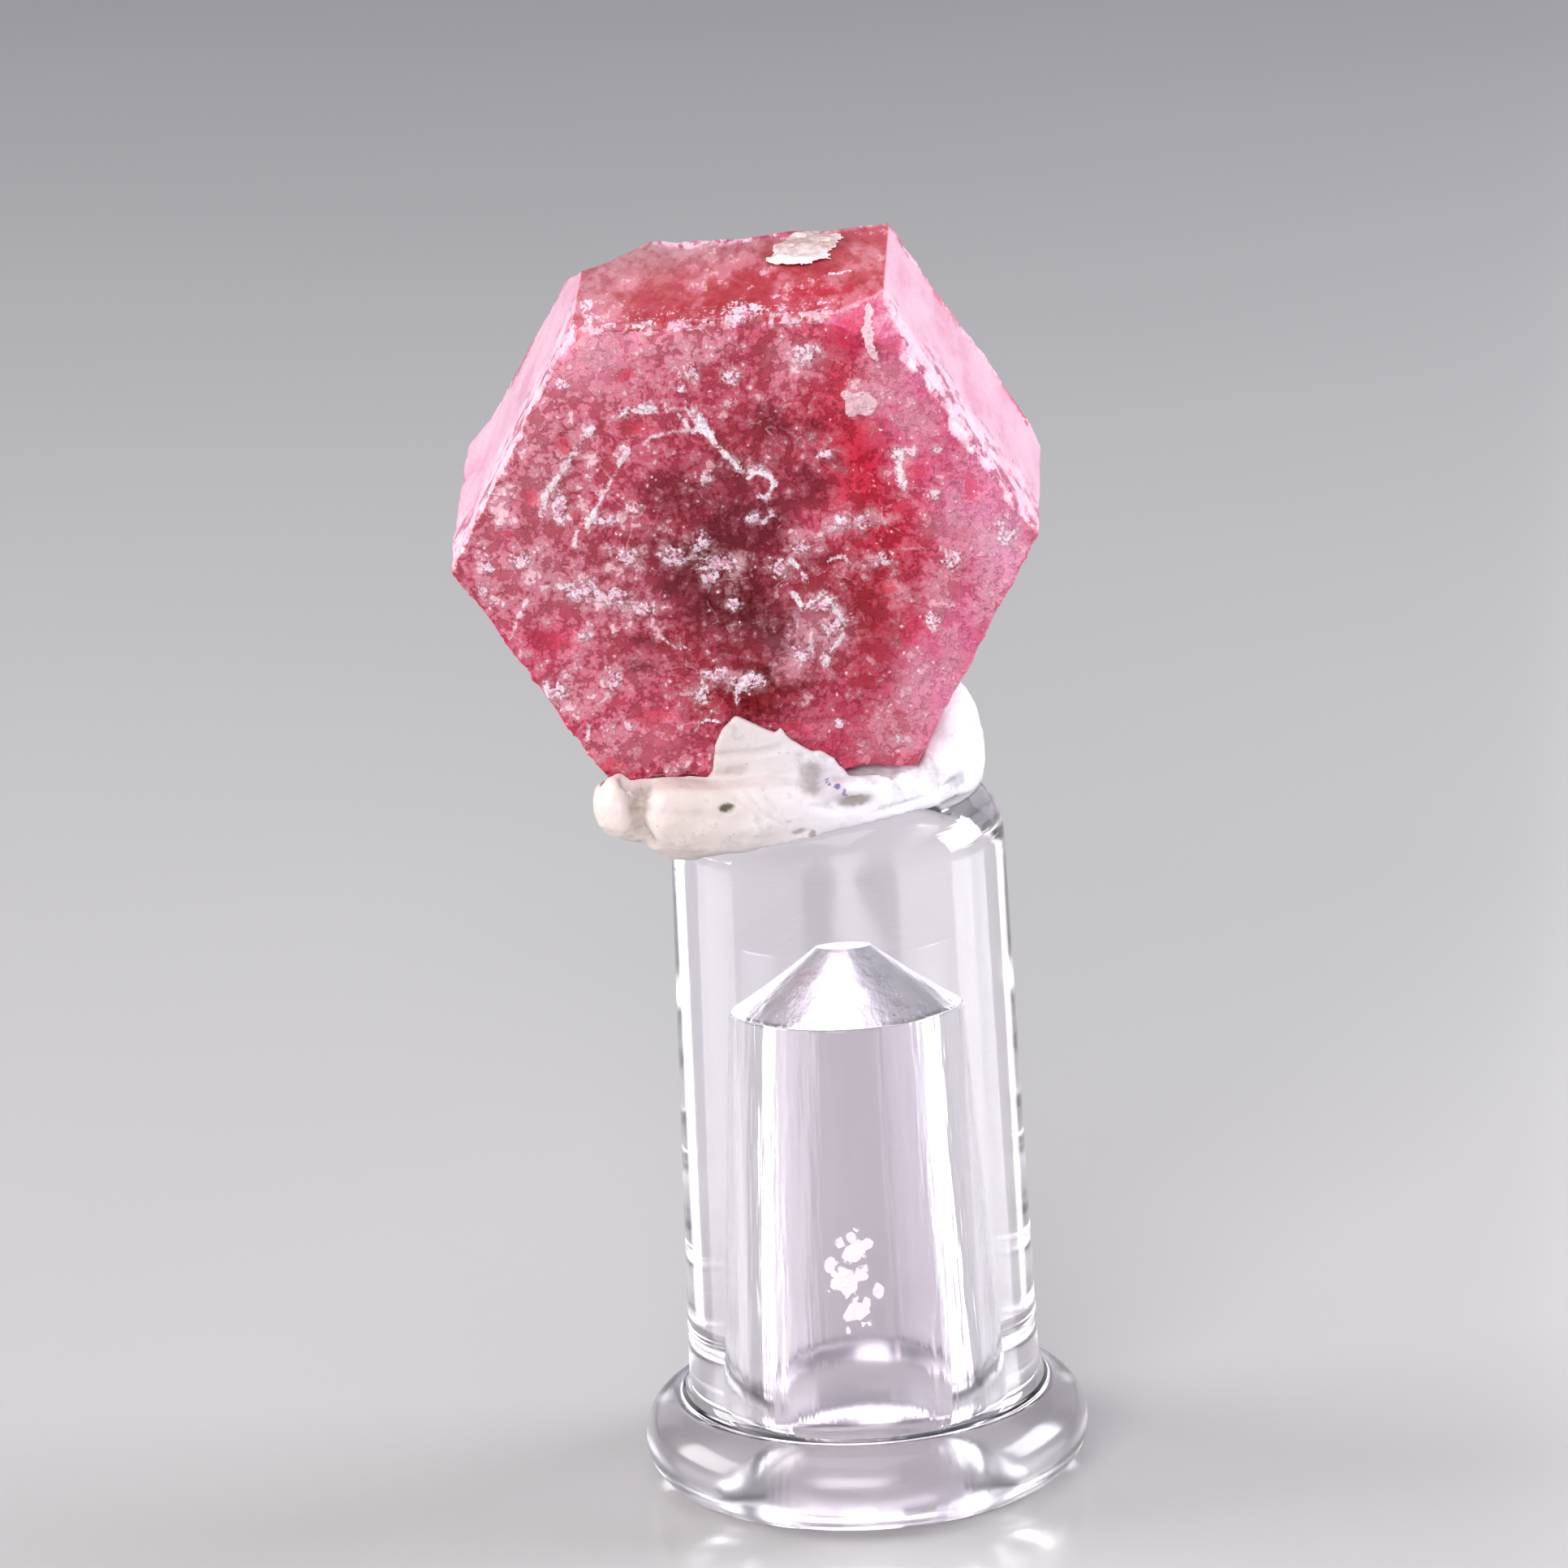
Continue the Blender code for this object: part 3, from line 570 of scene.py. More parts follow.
# Marks on the end face, as (across, up) in mm from its middle.
marks = {
    # half width, then the points that a white vein runs through
    "veins": (
        (0.085, ((-0.78, 2.56), (-0.62, 2.33), (-0.5, 2.12))),
        (0.05, ((-0.5, 2.12), (-0.21, 1.73), (0.02, 1.42))),
        (0.03, ((0.02, 1.42), (0.13, 1.28), (0.22, 1.36))),
        (0.075, ((0.22, 1.4), (0.33, 1.47), (0.42, 1.38))),
        (0.045, ((0.42, 1.38), (0.5, 1.3), (0.6, 1.16))),
        (0.022, ((0.55, 1.16), (0.41, 0.91), (0.4, 0.8), (0.49, 0.61), (0.34, 0.43))),
        (0.02, ((0.49, 0.61), (0.62, 0.52))), (0.02, ((0.41, 0.91), (0.3, 0.98))),
        (0.022, ((-0.6, 2.22), (-0.82, 2.2), (-1.13, 2.16), (-1.47, 2.1), (-1.6, 1.96))),
        (0.03, ((-1.91, 1.85), (-2.16, 1.39), (-2.5, 0.83), (-2.67, 0.53))),
        (0.06, ((-1.96, 1.92), (-1.86, 1.86))),
        (0.05, ((-2.46, 2.33), (-2.8, 1.85), (-3.04, 1.5))),
        (0.045, ((-3.04, 1.5), (-3.31, 1.17), (-3.4, 0.8))),
        (0.024, ((-1.78, 2.58), (-1.38, 2.55), (-1.04, 2.6), (-0.86, 2.3), (-0.76, 2.16))),
        (0.08, ((-1.5, 2.62), (-1.4, 2.62))), (0.05, ((-1.86, 2.52), (-1.84, 2.62))),
        (0.02, ((-3.78, -0.76), (-3.98, -1.17), (-4.1, -1.45))),
        (0.022, ((-0.95, -2.2), (-0.74, -2.32), (-0.52, -2.18), (-0.24, -2.34), (0.03, -2.26))),
        (0.028, ((-0.12, -2.33), (-0.2, -2.52), (-0.32, -2.6), (-0.29, -2.82))),
        (0.018, ((-0.95, -2.24), (-0.82, -2.48), (-0.98, -2.66))),
        (0.035, ((0.77, -0.21), (0.9, -0.41), (1.04, -0.64))),
        (0.022, ((0.93, -1.14), (1.13, -0.97), (1.31, -0.8), (1.48, -1.16), (1.64, -1.52),
                 (1.53, -1.73), (1.36, -1.92))),
        (0.04, ((0.93, -1.14), (0.87, -0.99), (0.78, -0.82))),
        (0.035, ((1.53, -1.73), (1.36, -1.92), (1.26, -2.14))),
        (0.02, ((-1.52, -1.51), (-1.29, -1.72), (-1.03, -1.79))),
        (0.03, ((-2.85, -3.1), (-2.94, -3.49))),
        (0.03, ((2.59, 1.65), (2.73, 1.62), (2.72, 1.28), (2.75, 0.99))),
        (0.09, ((2.66, 1.38), (2.71, 1.12))),
        (0.015, ((1.39, -0.24), (1.67, -0.16), (1.82, -0.4))),
        (0.02, ((-2.96, 0.69), (-2.81, 0.5), (-2.91, 0.21))),
        (0.014, ((-1.05, -3.3), (-0.95, -3.14), (-0.77, -3.1), (-0.62, -3.14))),
    ),
    # patches: across, up, half width, half height
    "frost": (
        (-0.49, -0.28, 0.34, 0.16), (-0.62, -0.5, 0.14, 0.12), (-0.76, 0.18, 0.17, 0.22),
        (-1.2, -0.07, 0.23, 0.19),
        (-1.99, -0.04, 0.18, 0.14), (-2.89, -0.62, 0.33, 0.18), (-2.34, -0.75, 0.36, 0.15),
        (-1.86, -0.99, 0.25, 0.12), (-2.4, 0.65, 0.28, 0.12), (-1.86, 0.85, 0.17, 0.11),
        (-0.7, 3.24, 0.12, 0.18), (-0.06, 3.12, 0.17, 0.14), (-1.93, 2.58, 0.08, 0.11),
        (-1.55, 2.65, 0.12, 0.08), (-2.88, 3.13, 0.11, 0.11), (-0.89, 2.92, 0.11, 0.07),
        (-4.39, -0.1, 0.11, 0.19), (-4.52, -0.54, 0.08, 0.14), (0.82, -1.89, 0.21, 0.15),
        (1.24, -1.05, 0.25, 0.17), (1.41, -1.5, 0.19, 0.22), (2.95, 1.68, 0.1, 0.08),
        (3.35, 1.7, 0.12, 0.08), (4.44, 0.17, 0.19, 0.28), (2.04, 0.46, 0.21, 0.14),
        (1.66, 0.42, 0.17, 0.12), (0.93, 0.04, 0.17, 0.12), (1.27, -2.05, 0.12, 0.17),
        (-0.12, -2.4, 0.3, 0.16), (-0.62, -2.26, 0.22, 0.13), (-0.91, -2.62, 0.16, 0.16),
        (-3.42, -2.47, 0.22, 0.22),
        (-2.4, -2.26, 0.12, 0.22), (-2.19, -3.14, 0.08, 0.08), (1.19, 3.47, 0.22, 0.19),
        (1.43, 3.53, 0.12, 0.11), (2.73, 1.62, 0.19, 0.11), (1.41, -3.27, 0.1, 0.08),
        (2.39, -3.57, 0.08, 0.07), (-3.09, 0.91, 0.15, 0.3), (0.2, 0.55, 0.14, 0.11),
        (0.56, -0.35, 0.19, 0.17), (-0.24, -0.98, 0.12, 0.12), (3.52, -0.32, 0.19, 0.17),
        (3.13, -1.42, 0.14, 0.17), (-3.84, -0.02, 0.19, 0.14), (-2.83, -1.47, 0.14, 0.11),
        (1.43, 1.67, 0.14, 0.11), (-0.58, 1.32, 0.11, 0.11), (2.29, -0.27, 0.17, 0.14),
        (3.24, 0.87, 0.14, 0.11)),
    "glass": (
        (2.07, 3.9, 0.33, 0.28), (2.1, 1.76, 0.33, 0.47), (2.98, 1.27, 0.18, 0.17),
        (2.65, 0.63, 0.22, 0.25), (1.72, 3.09, 0.17, 0.19), (-1.82, 3.24, 0.14, 0.12),
        (-2.95, 2.07, 0.15, 0.17), (-2.89, 0.68, 0.14, 0.14), (-1.69, 2.29, 0.33, 0.11),
        (-0.04, -2.74, 0.33, 0.28), (-0.61, -2.78, 0.19, 0.14), (-1.76, -2.99, 0.3, 0.19),
        (-2.6, -4.00, 0.39, 0.3), (0.63, -3.3, 0.28, 0.12), (2.96, -1.46, 0.28, 0.19),
        (2.56, 0.14, 0.21, 0.21), (-3.25, -1.53, 0.36, 0.25), (-3.58, 1.12, 0.14, 0.17),
        (-2.67, 3.91, 0.14, 0.14), (2.32, -0.87, 0.19, 0.25), (1.74, 1.08, 0.19, 0.28),
        (3.86, 0.99, 0.22, 0.28), (-4.09, 0.44, 0.17, 0.12), (1.52, -3.99, 0.22, 0.11)),
    "smoke": (  # darker clouds
        (-0.15, 0.42, 0.63, 0.69), (-0.54, -0.3, 0.83, 0.55), (-1.11, -0.58, 0.41, 0.25),
        (-0.24, -0.98, 0.77, 0.55), (-1.15, 1.05, 0.63, 0.5), (0.49, -1.54, 0.41, 0.47),
        (1.14, 1.1, 0.41, 0.41), (1.27, 2.12, 0.22, 0.22), (1.64, 1.53, 0.19, 0.19),
        (-1.83, -1.59, 0.22, 0.14), (-2.01, -2.03, 0.22, 0.14), (1.26, -0.23, 0.36, 0.25),
        (0.61, 0.54, 0.36, 0.55), (-0.16, 1.52, 0.41, 0.28), (-0.06, -2.74, 0.28, 0.22),
        (0.57, 2.29, 0.36, 0.36)),
    "milk": (  # paler clouds
        (-2.63, 2.07, 0.22, 0.45), (-3.18, 1.34, 0.26, 0.5), (-1.9, 0.75, 0.3, 0.12),
        (-2.9, -0.7, 0.4, 0.16), (-2.2, -0.95, 0.4, 0.12),
        (1.0, 0.1, 0.34, 0.26), (1.7, 0.38, 0.36, 0.22), (2.4, 0.5, 0.3, 0.16),
        (1.9, -0.3, 0.3, 0.2), (2.75, 1.3, 0.16, 0.4), (3.4, 0.3, 0.5, 0.3),
        (2.5, -0.9, 0.25, 0.3), (3.3, -0.75, 0.35, 0.4), (1.15, -1.5, 0.36, 0.6),
        (0.7, -2.2, 0.4, 0.3), (-0.4, -2.3, 0.5, 0.14), (-3.5, 2.3, 0.3, 0.5),
        (-2.28, 3.64, 0.36, 0.3), (-1.96, 3.98, 0.28, 0.11), (-0.71, 3.66, 0.69, 0.33),
        (-3.33, 1.29, 0.39, 0.69), (-4.06, 0.73, 0.28, 0.41), (-3.19, -2.58, 0.41, 0.41),
        (2.52, 2.94, 0.47, 0.55), (3.03, 2.19, 0.41, 0.47), (3.42, -2.18, 0.28, 0.83),
        (4.11, -1.09, 0.36, 0.69), (2.33, -3.41, 0.69, 0.41), (-2.42, -3.67, 0.55, 0.36),
        (1.05, 3.44, 0.5, 0.36), (-3.58, -0.18, 0.5, 0.41), (2.78, -2.83, 0.41, 0.83),
        (3.89, 0.1, 0.41, 0.33)),
    # places with little grain: across, up, half width, half height
    "calm": ((3.3, 2.6, 1.2, 1.6), (4.2, 0.4, 1.0, 1.6), (3.2, -2.4, 1.3, 1.6),
             (1.9, 3.8, 0.5, 0.5), (-2.4, 3.6, 0.9, 0.7),
             (1.5, -3.5, 0.9, 0.6)),
    # white patches on the top face, the second number running back from the end face
    "topFrost": ((0.16, 0.58, 0.32, 0.55), (0.38, 0.72, 0.2, 0.2), (-2.41, 0.72, 0.14, 0.3),
                 (-2.52, 1.43, 0.1, 0.4), (1.76, 2.23, 0.26, 0.1), (-1.5, 0.25, 0.2, 0.1),
                 (-0.7, 0.3, 0.12, 0.08), (0.9, 0.3, 0.25, 0.08), (1.5, 0.75, 0.12, 0.1),
                 (-2.0, 0.3, 0.14, 0.14), (0.7, 1.2, 0.1, 0.08)),
    # a raised plate and a raised sliver: across, up, half width, half height, lean, bow, height
    "plates": ((2.08, 2.59, 0.27, 0.25, 0, 0.0, 0.05), (2.33, 3.68, 0.085, 0.4, -10, 0.1, 0.07)),
}

crystalTurn = (math.radians(beryl["noseDown"]), 0.0, math.radians(-beryl["turnedLeft"]))
crystalPlace = Matrix.Translation(beryl["centre"]) @ Euler(crystalTurn).to_matrix().to_4x4()


def outward(degrees):
    angle = math.radians(degrees + beryl["rolled"])
    return Vector((math.cos(angle), 0.0, math.sin(angle)))


def frontCorners():
    corners = []
    for i, (degrees, distance) in enumerate(beryl["faces"]):
        a, b = outward(beryl["faces"][i - 1][0]), outward(degrees)
        before = beryl["faces"][i - 1][1]
        scale = a.x * b.z - a.z * b.x
        corners.append(Vector(((before * b.z - distance * a.z) / scale, 0.0,
                               (distance * a.x - before * b.x) / scale)))
    return corners


def cutOff(point, direction):  # in edit mode: removes what lies beyond a plane and closes the cut
    pickAll()
    bpy.ops.mesh.bisect(plane_co=point, plane_no=direction, use_fill=True, clear_outer=True)


def chipCorner(number, toBefore, toAfter, along, depth):
    corners = frontCorners()
    corner = corners[number] + Vector((0, depth, 0))
    a = corner + (corners[number - 1] - corners[number]).normalized() * toBefore
    b = corner + (corners[(number + 1) % 6] - corners[number]).normalized() * toAfter
    c = corner + Vector((0, -along if depth else along, 0))
    direction = (b - a).cross(c - a).normalized()
    cutOff(a, direction if direction.dot(corner - a) > 0 else -direction)


def patchField(places, patches):  # 1 in the middle of a patch, 0 at its edge, less outside
    best = np.full(len(places), -1.0)
    for across, up, wide, high in patches:
        reach = np.hypot((places[:, 0] - across) / wide, (places[:, 2] - up) / high)
        best = np.maximum(best, 1.0 - reach)
    return best


def veinField(places):  # distance outside the nearest vein, in mm
    best = np.full(len(places), 0.5)
    for half, path in marks["veins"]:
        best = np.minimum(best, pathGap(places, path) - half)
    return best


def plateField(places, across, up, wide, high, lean, bow):  # 1 on a raised plate, 0 off it
    turn = math.radians(lean)
    a, u = places[:, 0] - across, places[:, 2] - up
    x = a * math.cos(turn) - u * math.sin(turn)
    z = a * math.sin(turn) + u * math.cos(turn)
    x = x - bow * ((z / high) ** 2 - 0.5)
    raised = 1 - np.hypot(x / wide, z / high) + 2.6 * wide * noiseAt(places, 3.4, 1.0)
    return soft(raised, 0.0, 0.12)


def edgeField(places):  # distance inside the nearest long face, and which face that is
    gaps = []
    for degrees, distance in beryl["faces"]:
        direction = outward(degrees)
        gaps.append(distance - places[:, 0] * direction.x - places[:, 2] * direction.z)
    gaps = np.array(gaps)
    return gaps.min(axis=0), gaps.argmin(axis=0)


def washed(first, second, base, layers):  # lays soft washes of colour over one another
    colour = np.tile(np.array(base), (len(first), 1))
    for across, other, wide, high, tone, strength in layers:
        reach = ((first - across) / wide) ** 2 + ((second - other) / high) ** 2
        share = (strength * np.exp(-1.2 * reach))[:, None]
        colour += (np.array(beryl["tones"][tone]) - colour) * share
    return colour


def clouds(places, patches, tone, strength, colour):  # torn clouds of one colour
    push = 0.13 * noiseAt(places, 4.0, 2.0) + 0.12 * noiseAt(places, 9.0, 6.0)
    reach = np.full(len(places), 9.0)
    for across, up, wide, high in patches:
        here = np.hypot((places[:, 0] - across) / wide, (places[:, 2] - up) / high)
        reach = np.minimum(reach, here + push / min(wide, high))
    share = (strength * soft(reach, 1.3, 0.5))[:, None]
    return colour + (np.array(beryl["tones"][tone]) - colour) * share


def lengthHere(across, up):
    shard = 1.6 * max(0.0, (-across - 2.4) / 2.6) ** 1.3
    rough = noise.fractal(Vector((across, up, beryl["length"])) * 0.55, 0.9, 2.0, 4)
    return beryl["length"] + shard + beryl["breakRelief"] * rough


def makeCrystal():
    bpy.ops.mesh.primitive_cube_add(size=8 * beryl["length"])
    piece = bpy.context.object
    piece.name = "crystalStone"
    editAll(piece)
    for degrees, distance in beryl["faces"]:
        cutOff(outward(degrees) * distance, outward(degrees))
    cutOff((0, 0, 0), (0, -1, 0))
    cutOff((0, beryl["length"], 0), (0, 1, 0))
    for number, toBefore, toAfter, along in beryl["frontChips"]:
        chipCorner(number, toBefore, toAfter, along, 0.0)
    for number, toBefore, toAfter, along in beryl["backChips"]:
        chipCorner(number, toBefore, toAfter, along, beryl["length"])
    pickAll()
    bpy.ops.mesh.normals_make_consistent(inside=False)
    modify(piece, "REMESH", mode="VOXEL", voxel_size=beryl["netSize"])
    pickFaces(piece, lambda centre, normal: centre.y < 0.1 and normal.y < -0.5)
    bpy.ops.mesh.subdivide(number_cuts=1)
    modify(piece, "SMOOTH", factor=0.4, iterations=2)
    carveCrystal(piece)
    return piece


class Survey:  # what the crystal's relief and colours follow, for each of its points
    def __init__(self, piece):
        places = points(piece)
        back = places[:, 1]
        self.places, self.back = places, back
        self.facing = normals(piece)
        self.front = np.clip(1 - back / 0.2, 0, 1)
        self.edge, self.nearest = edgeField(places)
        self.onTop = (self.nearest == 1) & (back > 0.1)
        flipped = places[:, [0, 2, 1]]
        self.frost = np.where(self.onTop, patchField(flipped, marks["topFrost"]),
                              patchField(places, marks["frost"]))
        self.glass = patchField(places, marks["glass"])
        self.vein = veinField(places)
        self.plates = [(plateField(places, *plate), height) for *plate, height in marks["plates"]]
        # how far inside the worn steps along the upper right edge of the end face
        heights, widths = zip(*sorted(beryl["rims"]))
        right = outward(beryl["faces"][2][0])
        inside = beryl["faces"][2][1] - places[:, 0] * right.x - places[:, 2] * right.z
        worn = np.interp(places[:, 2], heights, widths, left=0.0, right=0.0) - inside
        self.worn = np.where((back < 0.3) & (places[:, 2] > 0), worn, -1.0)


def reliefOf(seen):  # how far each point stands out, in mm
    places, back, front, edge, nearest = seen.places, seen.back, seen.front, seen.edge, seen.nearest
    relief = beryl["endRelief"] * front + beryl["sideRelief"] * (1 - front)
    shift = relief * noiseAt(places, 1.7)
    for across, up, radius, depth in beryl["hollows"]:
        reach = np.hypot(places[:, 0] - across, places[:, 2] - up) / radius
        shift -= front * depth * np.clip(1 - reach * reach, 0, 1) ** 2
    left = frontCorners()[0]
    for along, radius, height in beryl["knobs"]:
        reach = np.linalg.norm(places - np.array((left.x, along, left.z)), axis=1) / radius
        shift += height * np.clip(1 - reach * reach, 0, 1)
    # faint ridges along the prism on its long faces
    ridged = places * np.array((1.0, 0.12, 1.0))
    shift += beryl["ridgeHeight"] * (1 - front) * noiseAt(ridged, 3.1, 4.0)
    # small bites beside the front edges of the two upper faces
    bites = noiseAt(places * np.array((1.0, 0.7, 1.0)), 3.4, 9.0)
    band = soft(back, 0.9, 0.15) * soft(edge, 0.35, 0.12) * np.isin(nearest, (0, 2))
    shift -= band * beryl["biteDepth"] * (soft(bites, 0.05, 0.12) + soft(bites, 0.3, 0.36))
    rim = soft(edge + 1.2 * np.abs(back), 0.22, 0.04) * (back < 0.4)
    shift -= rim * beryl["rimBite"] * soft(noiseAt(places, 3.7, 2.0), -0.05, 0.35)
    # the edge between the end face and the top is worn round
    bevel = soft(np.abs(back) + np.clip(edge, 0, None), 0.32, 0.0) * (nearest == 1)
    least, more = beryl["edgeWear"]
    shift -= bevel * (least + more * soft(noiseAt(places, 2.2, 11.0), -0.3, 0.4))
    # crusts that stand up and glassy places that lie lower
    shift += front * beryl["frostHeight"] * soft(seen.frost, -0.1, 0.4)
    shift -= front * beryl["glassDepth"] * soft(seen.glass, -0.2, 0.5)
    shift += front * beryl["veinHeight"] * soft(seen.vein, 0.03, -0.02)
    for raised, height in seen.plates:
        shift += front * height * raised
    return shift * np.clip((beryl["length"] - back) / 0.6, 0.2, 1.0)


def breakEnd(moved):  # breaks the back end off unevenly, and returns where the break is
    share = np.clip(moved[:, 1] / beryl["length"], 0, None)
    lengths = np.array([lengthHere(p[0], p[2]) for p in moved])
    moved[:, 1] += (lengths - beryl["length"]) * share
    broken = soft(share, 0.97, 1.0)
    moved[:, 1] -= broken * (beryl["crumbleDepth"] * np.abs(fractalAt(moved, 1.9)) + 0.02)
    return broken


def carveCrystal(piece):
    seen = Survey(piece)
    moved = seen.places + seen.facing * reliefOf(seen)[:, None]
    moved[:, 1] += beryl["wornSlope"] * np.clip(seen.worn, 0, 0.3) * seen.front
    broken = breakEnd(moved)
    movePoints(piece, moved)
    # grains, but few where the face is glassy
    grainy = seen.front * np.clip(1 - 0.9 * soft(seen.glass, -0.1, 0.5), 0, 1)
    grainy = np.maximum(grainy * soft(seen.edge, 0.0, 0.25), broken)
    group = weights(piece, "endFace", grainy)
    size, height = beryl["coarseGrain"]
    modify(piece, "DISPLACE", texture=texture("coarseGrain", "CLOUDS", size, noise_depth=3),
           strength=height, mid_level=0.5, vertex_group=group)
    size, height = beryl["fineGrain"]
    modify(piece, "DISPLACE", texture=texture("fineGrain", "VORONOI", size), strength=height,
           mid_level=0.3, vertex_group=group)
    colourCrystal(piece, seen)


def colourCrystal(piece, seen):
    places, back, edge, nearest = seen.places, seen.back, seen.edge, seen.nearest
    tones = beryl["tones"]
    push = [0.3 * noiseAt(places, 0.9, n) + 0.16 * noiseAt(places, 3.0, n)
            + 0.07 * noiseAt(places, 8.0, n) for n in (3.0, 7.0)]
    endTone = washed(places[:, 0] + push[0], places[:, 2] + push[1], tones["rose"], washes)
    endTone = clouds(places, marks["smoke"], "maroon", 0.45, endTone)
    endTone = clouds(places, marks["milk"], "milky", 0.5, endTone)
    topTone = washed(places[:, 0] + push[0], back + push[1], tones["topRed"], topWashes)
    # the chipped corner is plain, and the broken end has other washes and none of the marks
    chipped = (places[:, 0] > 0.5) * (back > 0.08)
    chipped = chipped * soft(-seen.facing[:, 1], 0.2, 0.4) * soft(seen.facing[:, 2], 0.1, 0.3)
    endTone = endTone + (np.array(tones["magenta"]) - endTone) * 0.7 * chipped[:, None]
    farTone = washed(push[0] - places[:, 2], push[1] + places[:, 0], tones["rose"],
                     washes[:beryl["farWashes"]])
    farTone += (np.array(tones["raspPink"]) - farTone) * 0.4
    endTone = endTone + (farTone - endTone) * soft(back, 1.0, 2.0)[:, None]
    atBack = soft(back + 0.25 * noiseAt(places, 2.0, 5.0), beryl["length"] - 0.5,
                  beryl["length"] - 0.1)
    onTop = seen.onTop & (chipped < 0.5) & (atBack < 0.5)
    # the end face's skin laps unevenly over the edge to the top
    ragged = 0.1 + np.where(nearest == 1, 0.16 + 0.3 * noiseAt(places, 2.4, 13.0)
                            + 0.2 * noiseAt(places, 7.0, 13.0), 0.0)
    turned = soft(back, np.maximum(ragged, 0.06) + 0.04, np.maximum(ragged, 0.06) - 0.04)
    atFront = np.maximum(turned * (seen.worn < 0.0), np.maximum(chipped, atBack))
    behind = back > np.where(nearest == 1, 4.0, 2.0)
    plate = np.max([raised for raised, height in seen.plates], axis=0)
    reach = back + 0.5 * noiseAt(places, 1.2, 8.0) + 0.3 * noiseAt(places, 3.0, 8.0)
    fields = {
        "plate": np.where(behind, 0.0, plate), "veinGap": np.where(behind, 0.5, seen.vein),
        "frost": np.where(behind, -1.0, seen.frost), "glass": np.where(behind, -1.0, seen.glass),
        "calm": patchField(places, marks["calm"]), "rim": np.clip(edge, 0, 1), "front": atFront,
        "wash": np.where(onTop[:, None], topTone, endTone),
        "topFace": (nearest == 1) * soft(edge, 0.4, 0.2) * (1 - atFront),
        "upperBand": np.isin(nearest, (0, 2)) * soft(reach, 1.8, 0.9),
        "upperRim": np.isin(nearest, (0, 1, 2)) * 1.0,
        "lowFace": np.isin(nearest, (3, 4, 5)) * 1.0,
    }
    for name, values in fields.items():
        writeField(piece, name, values)


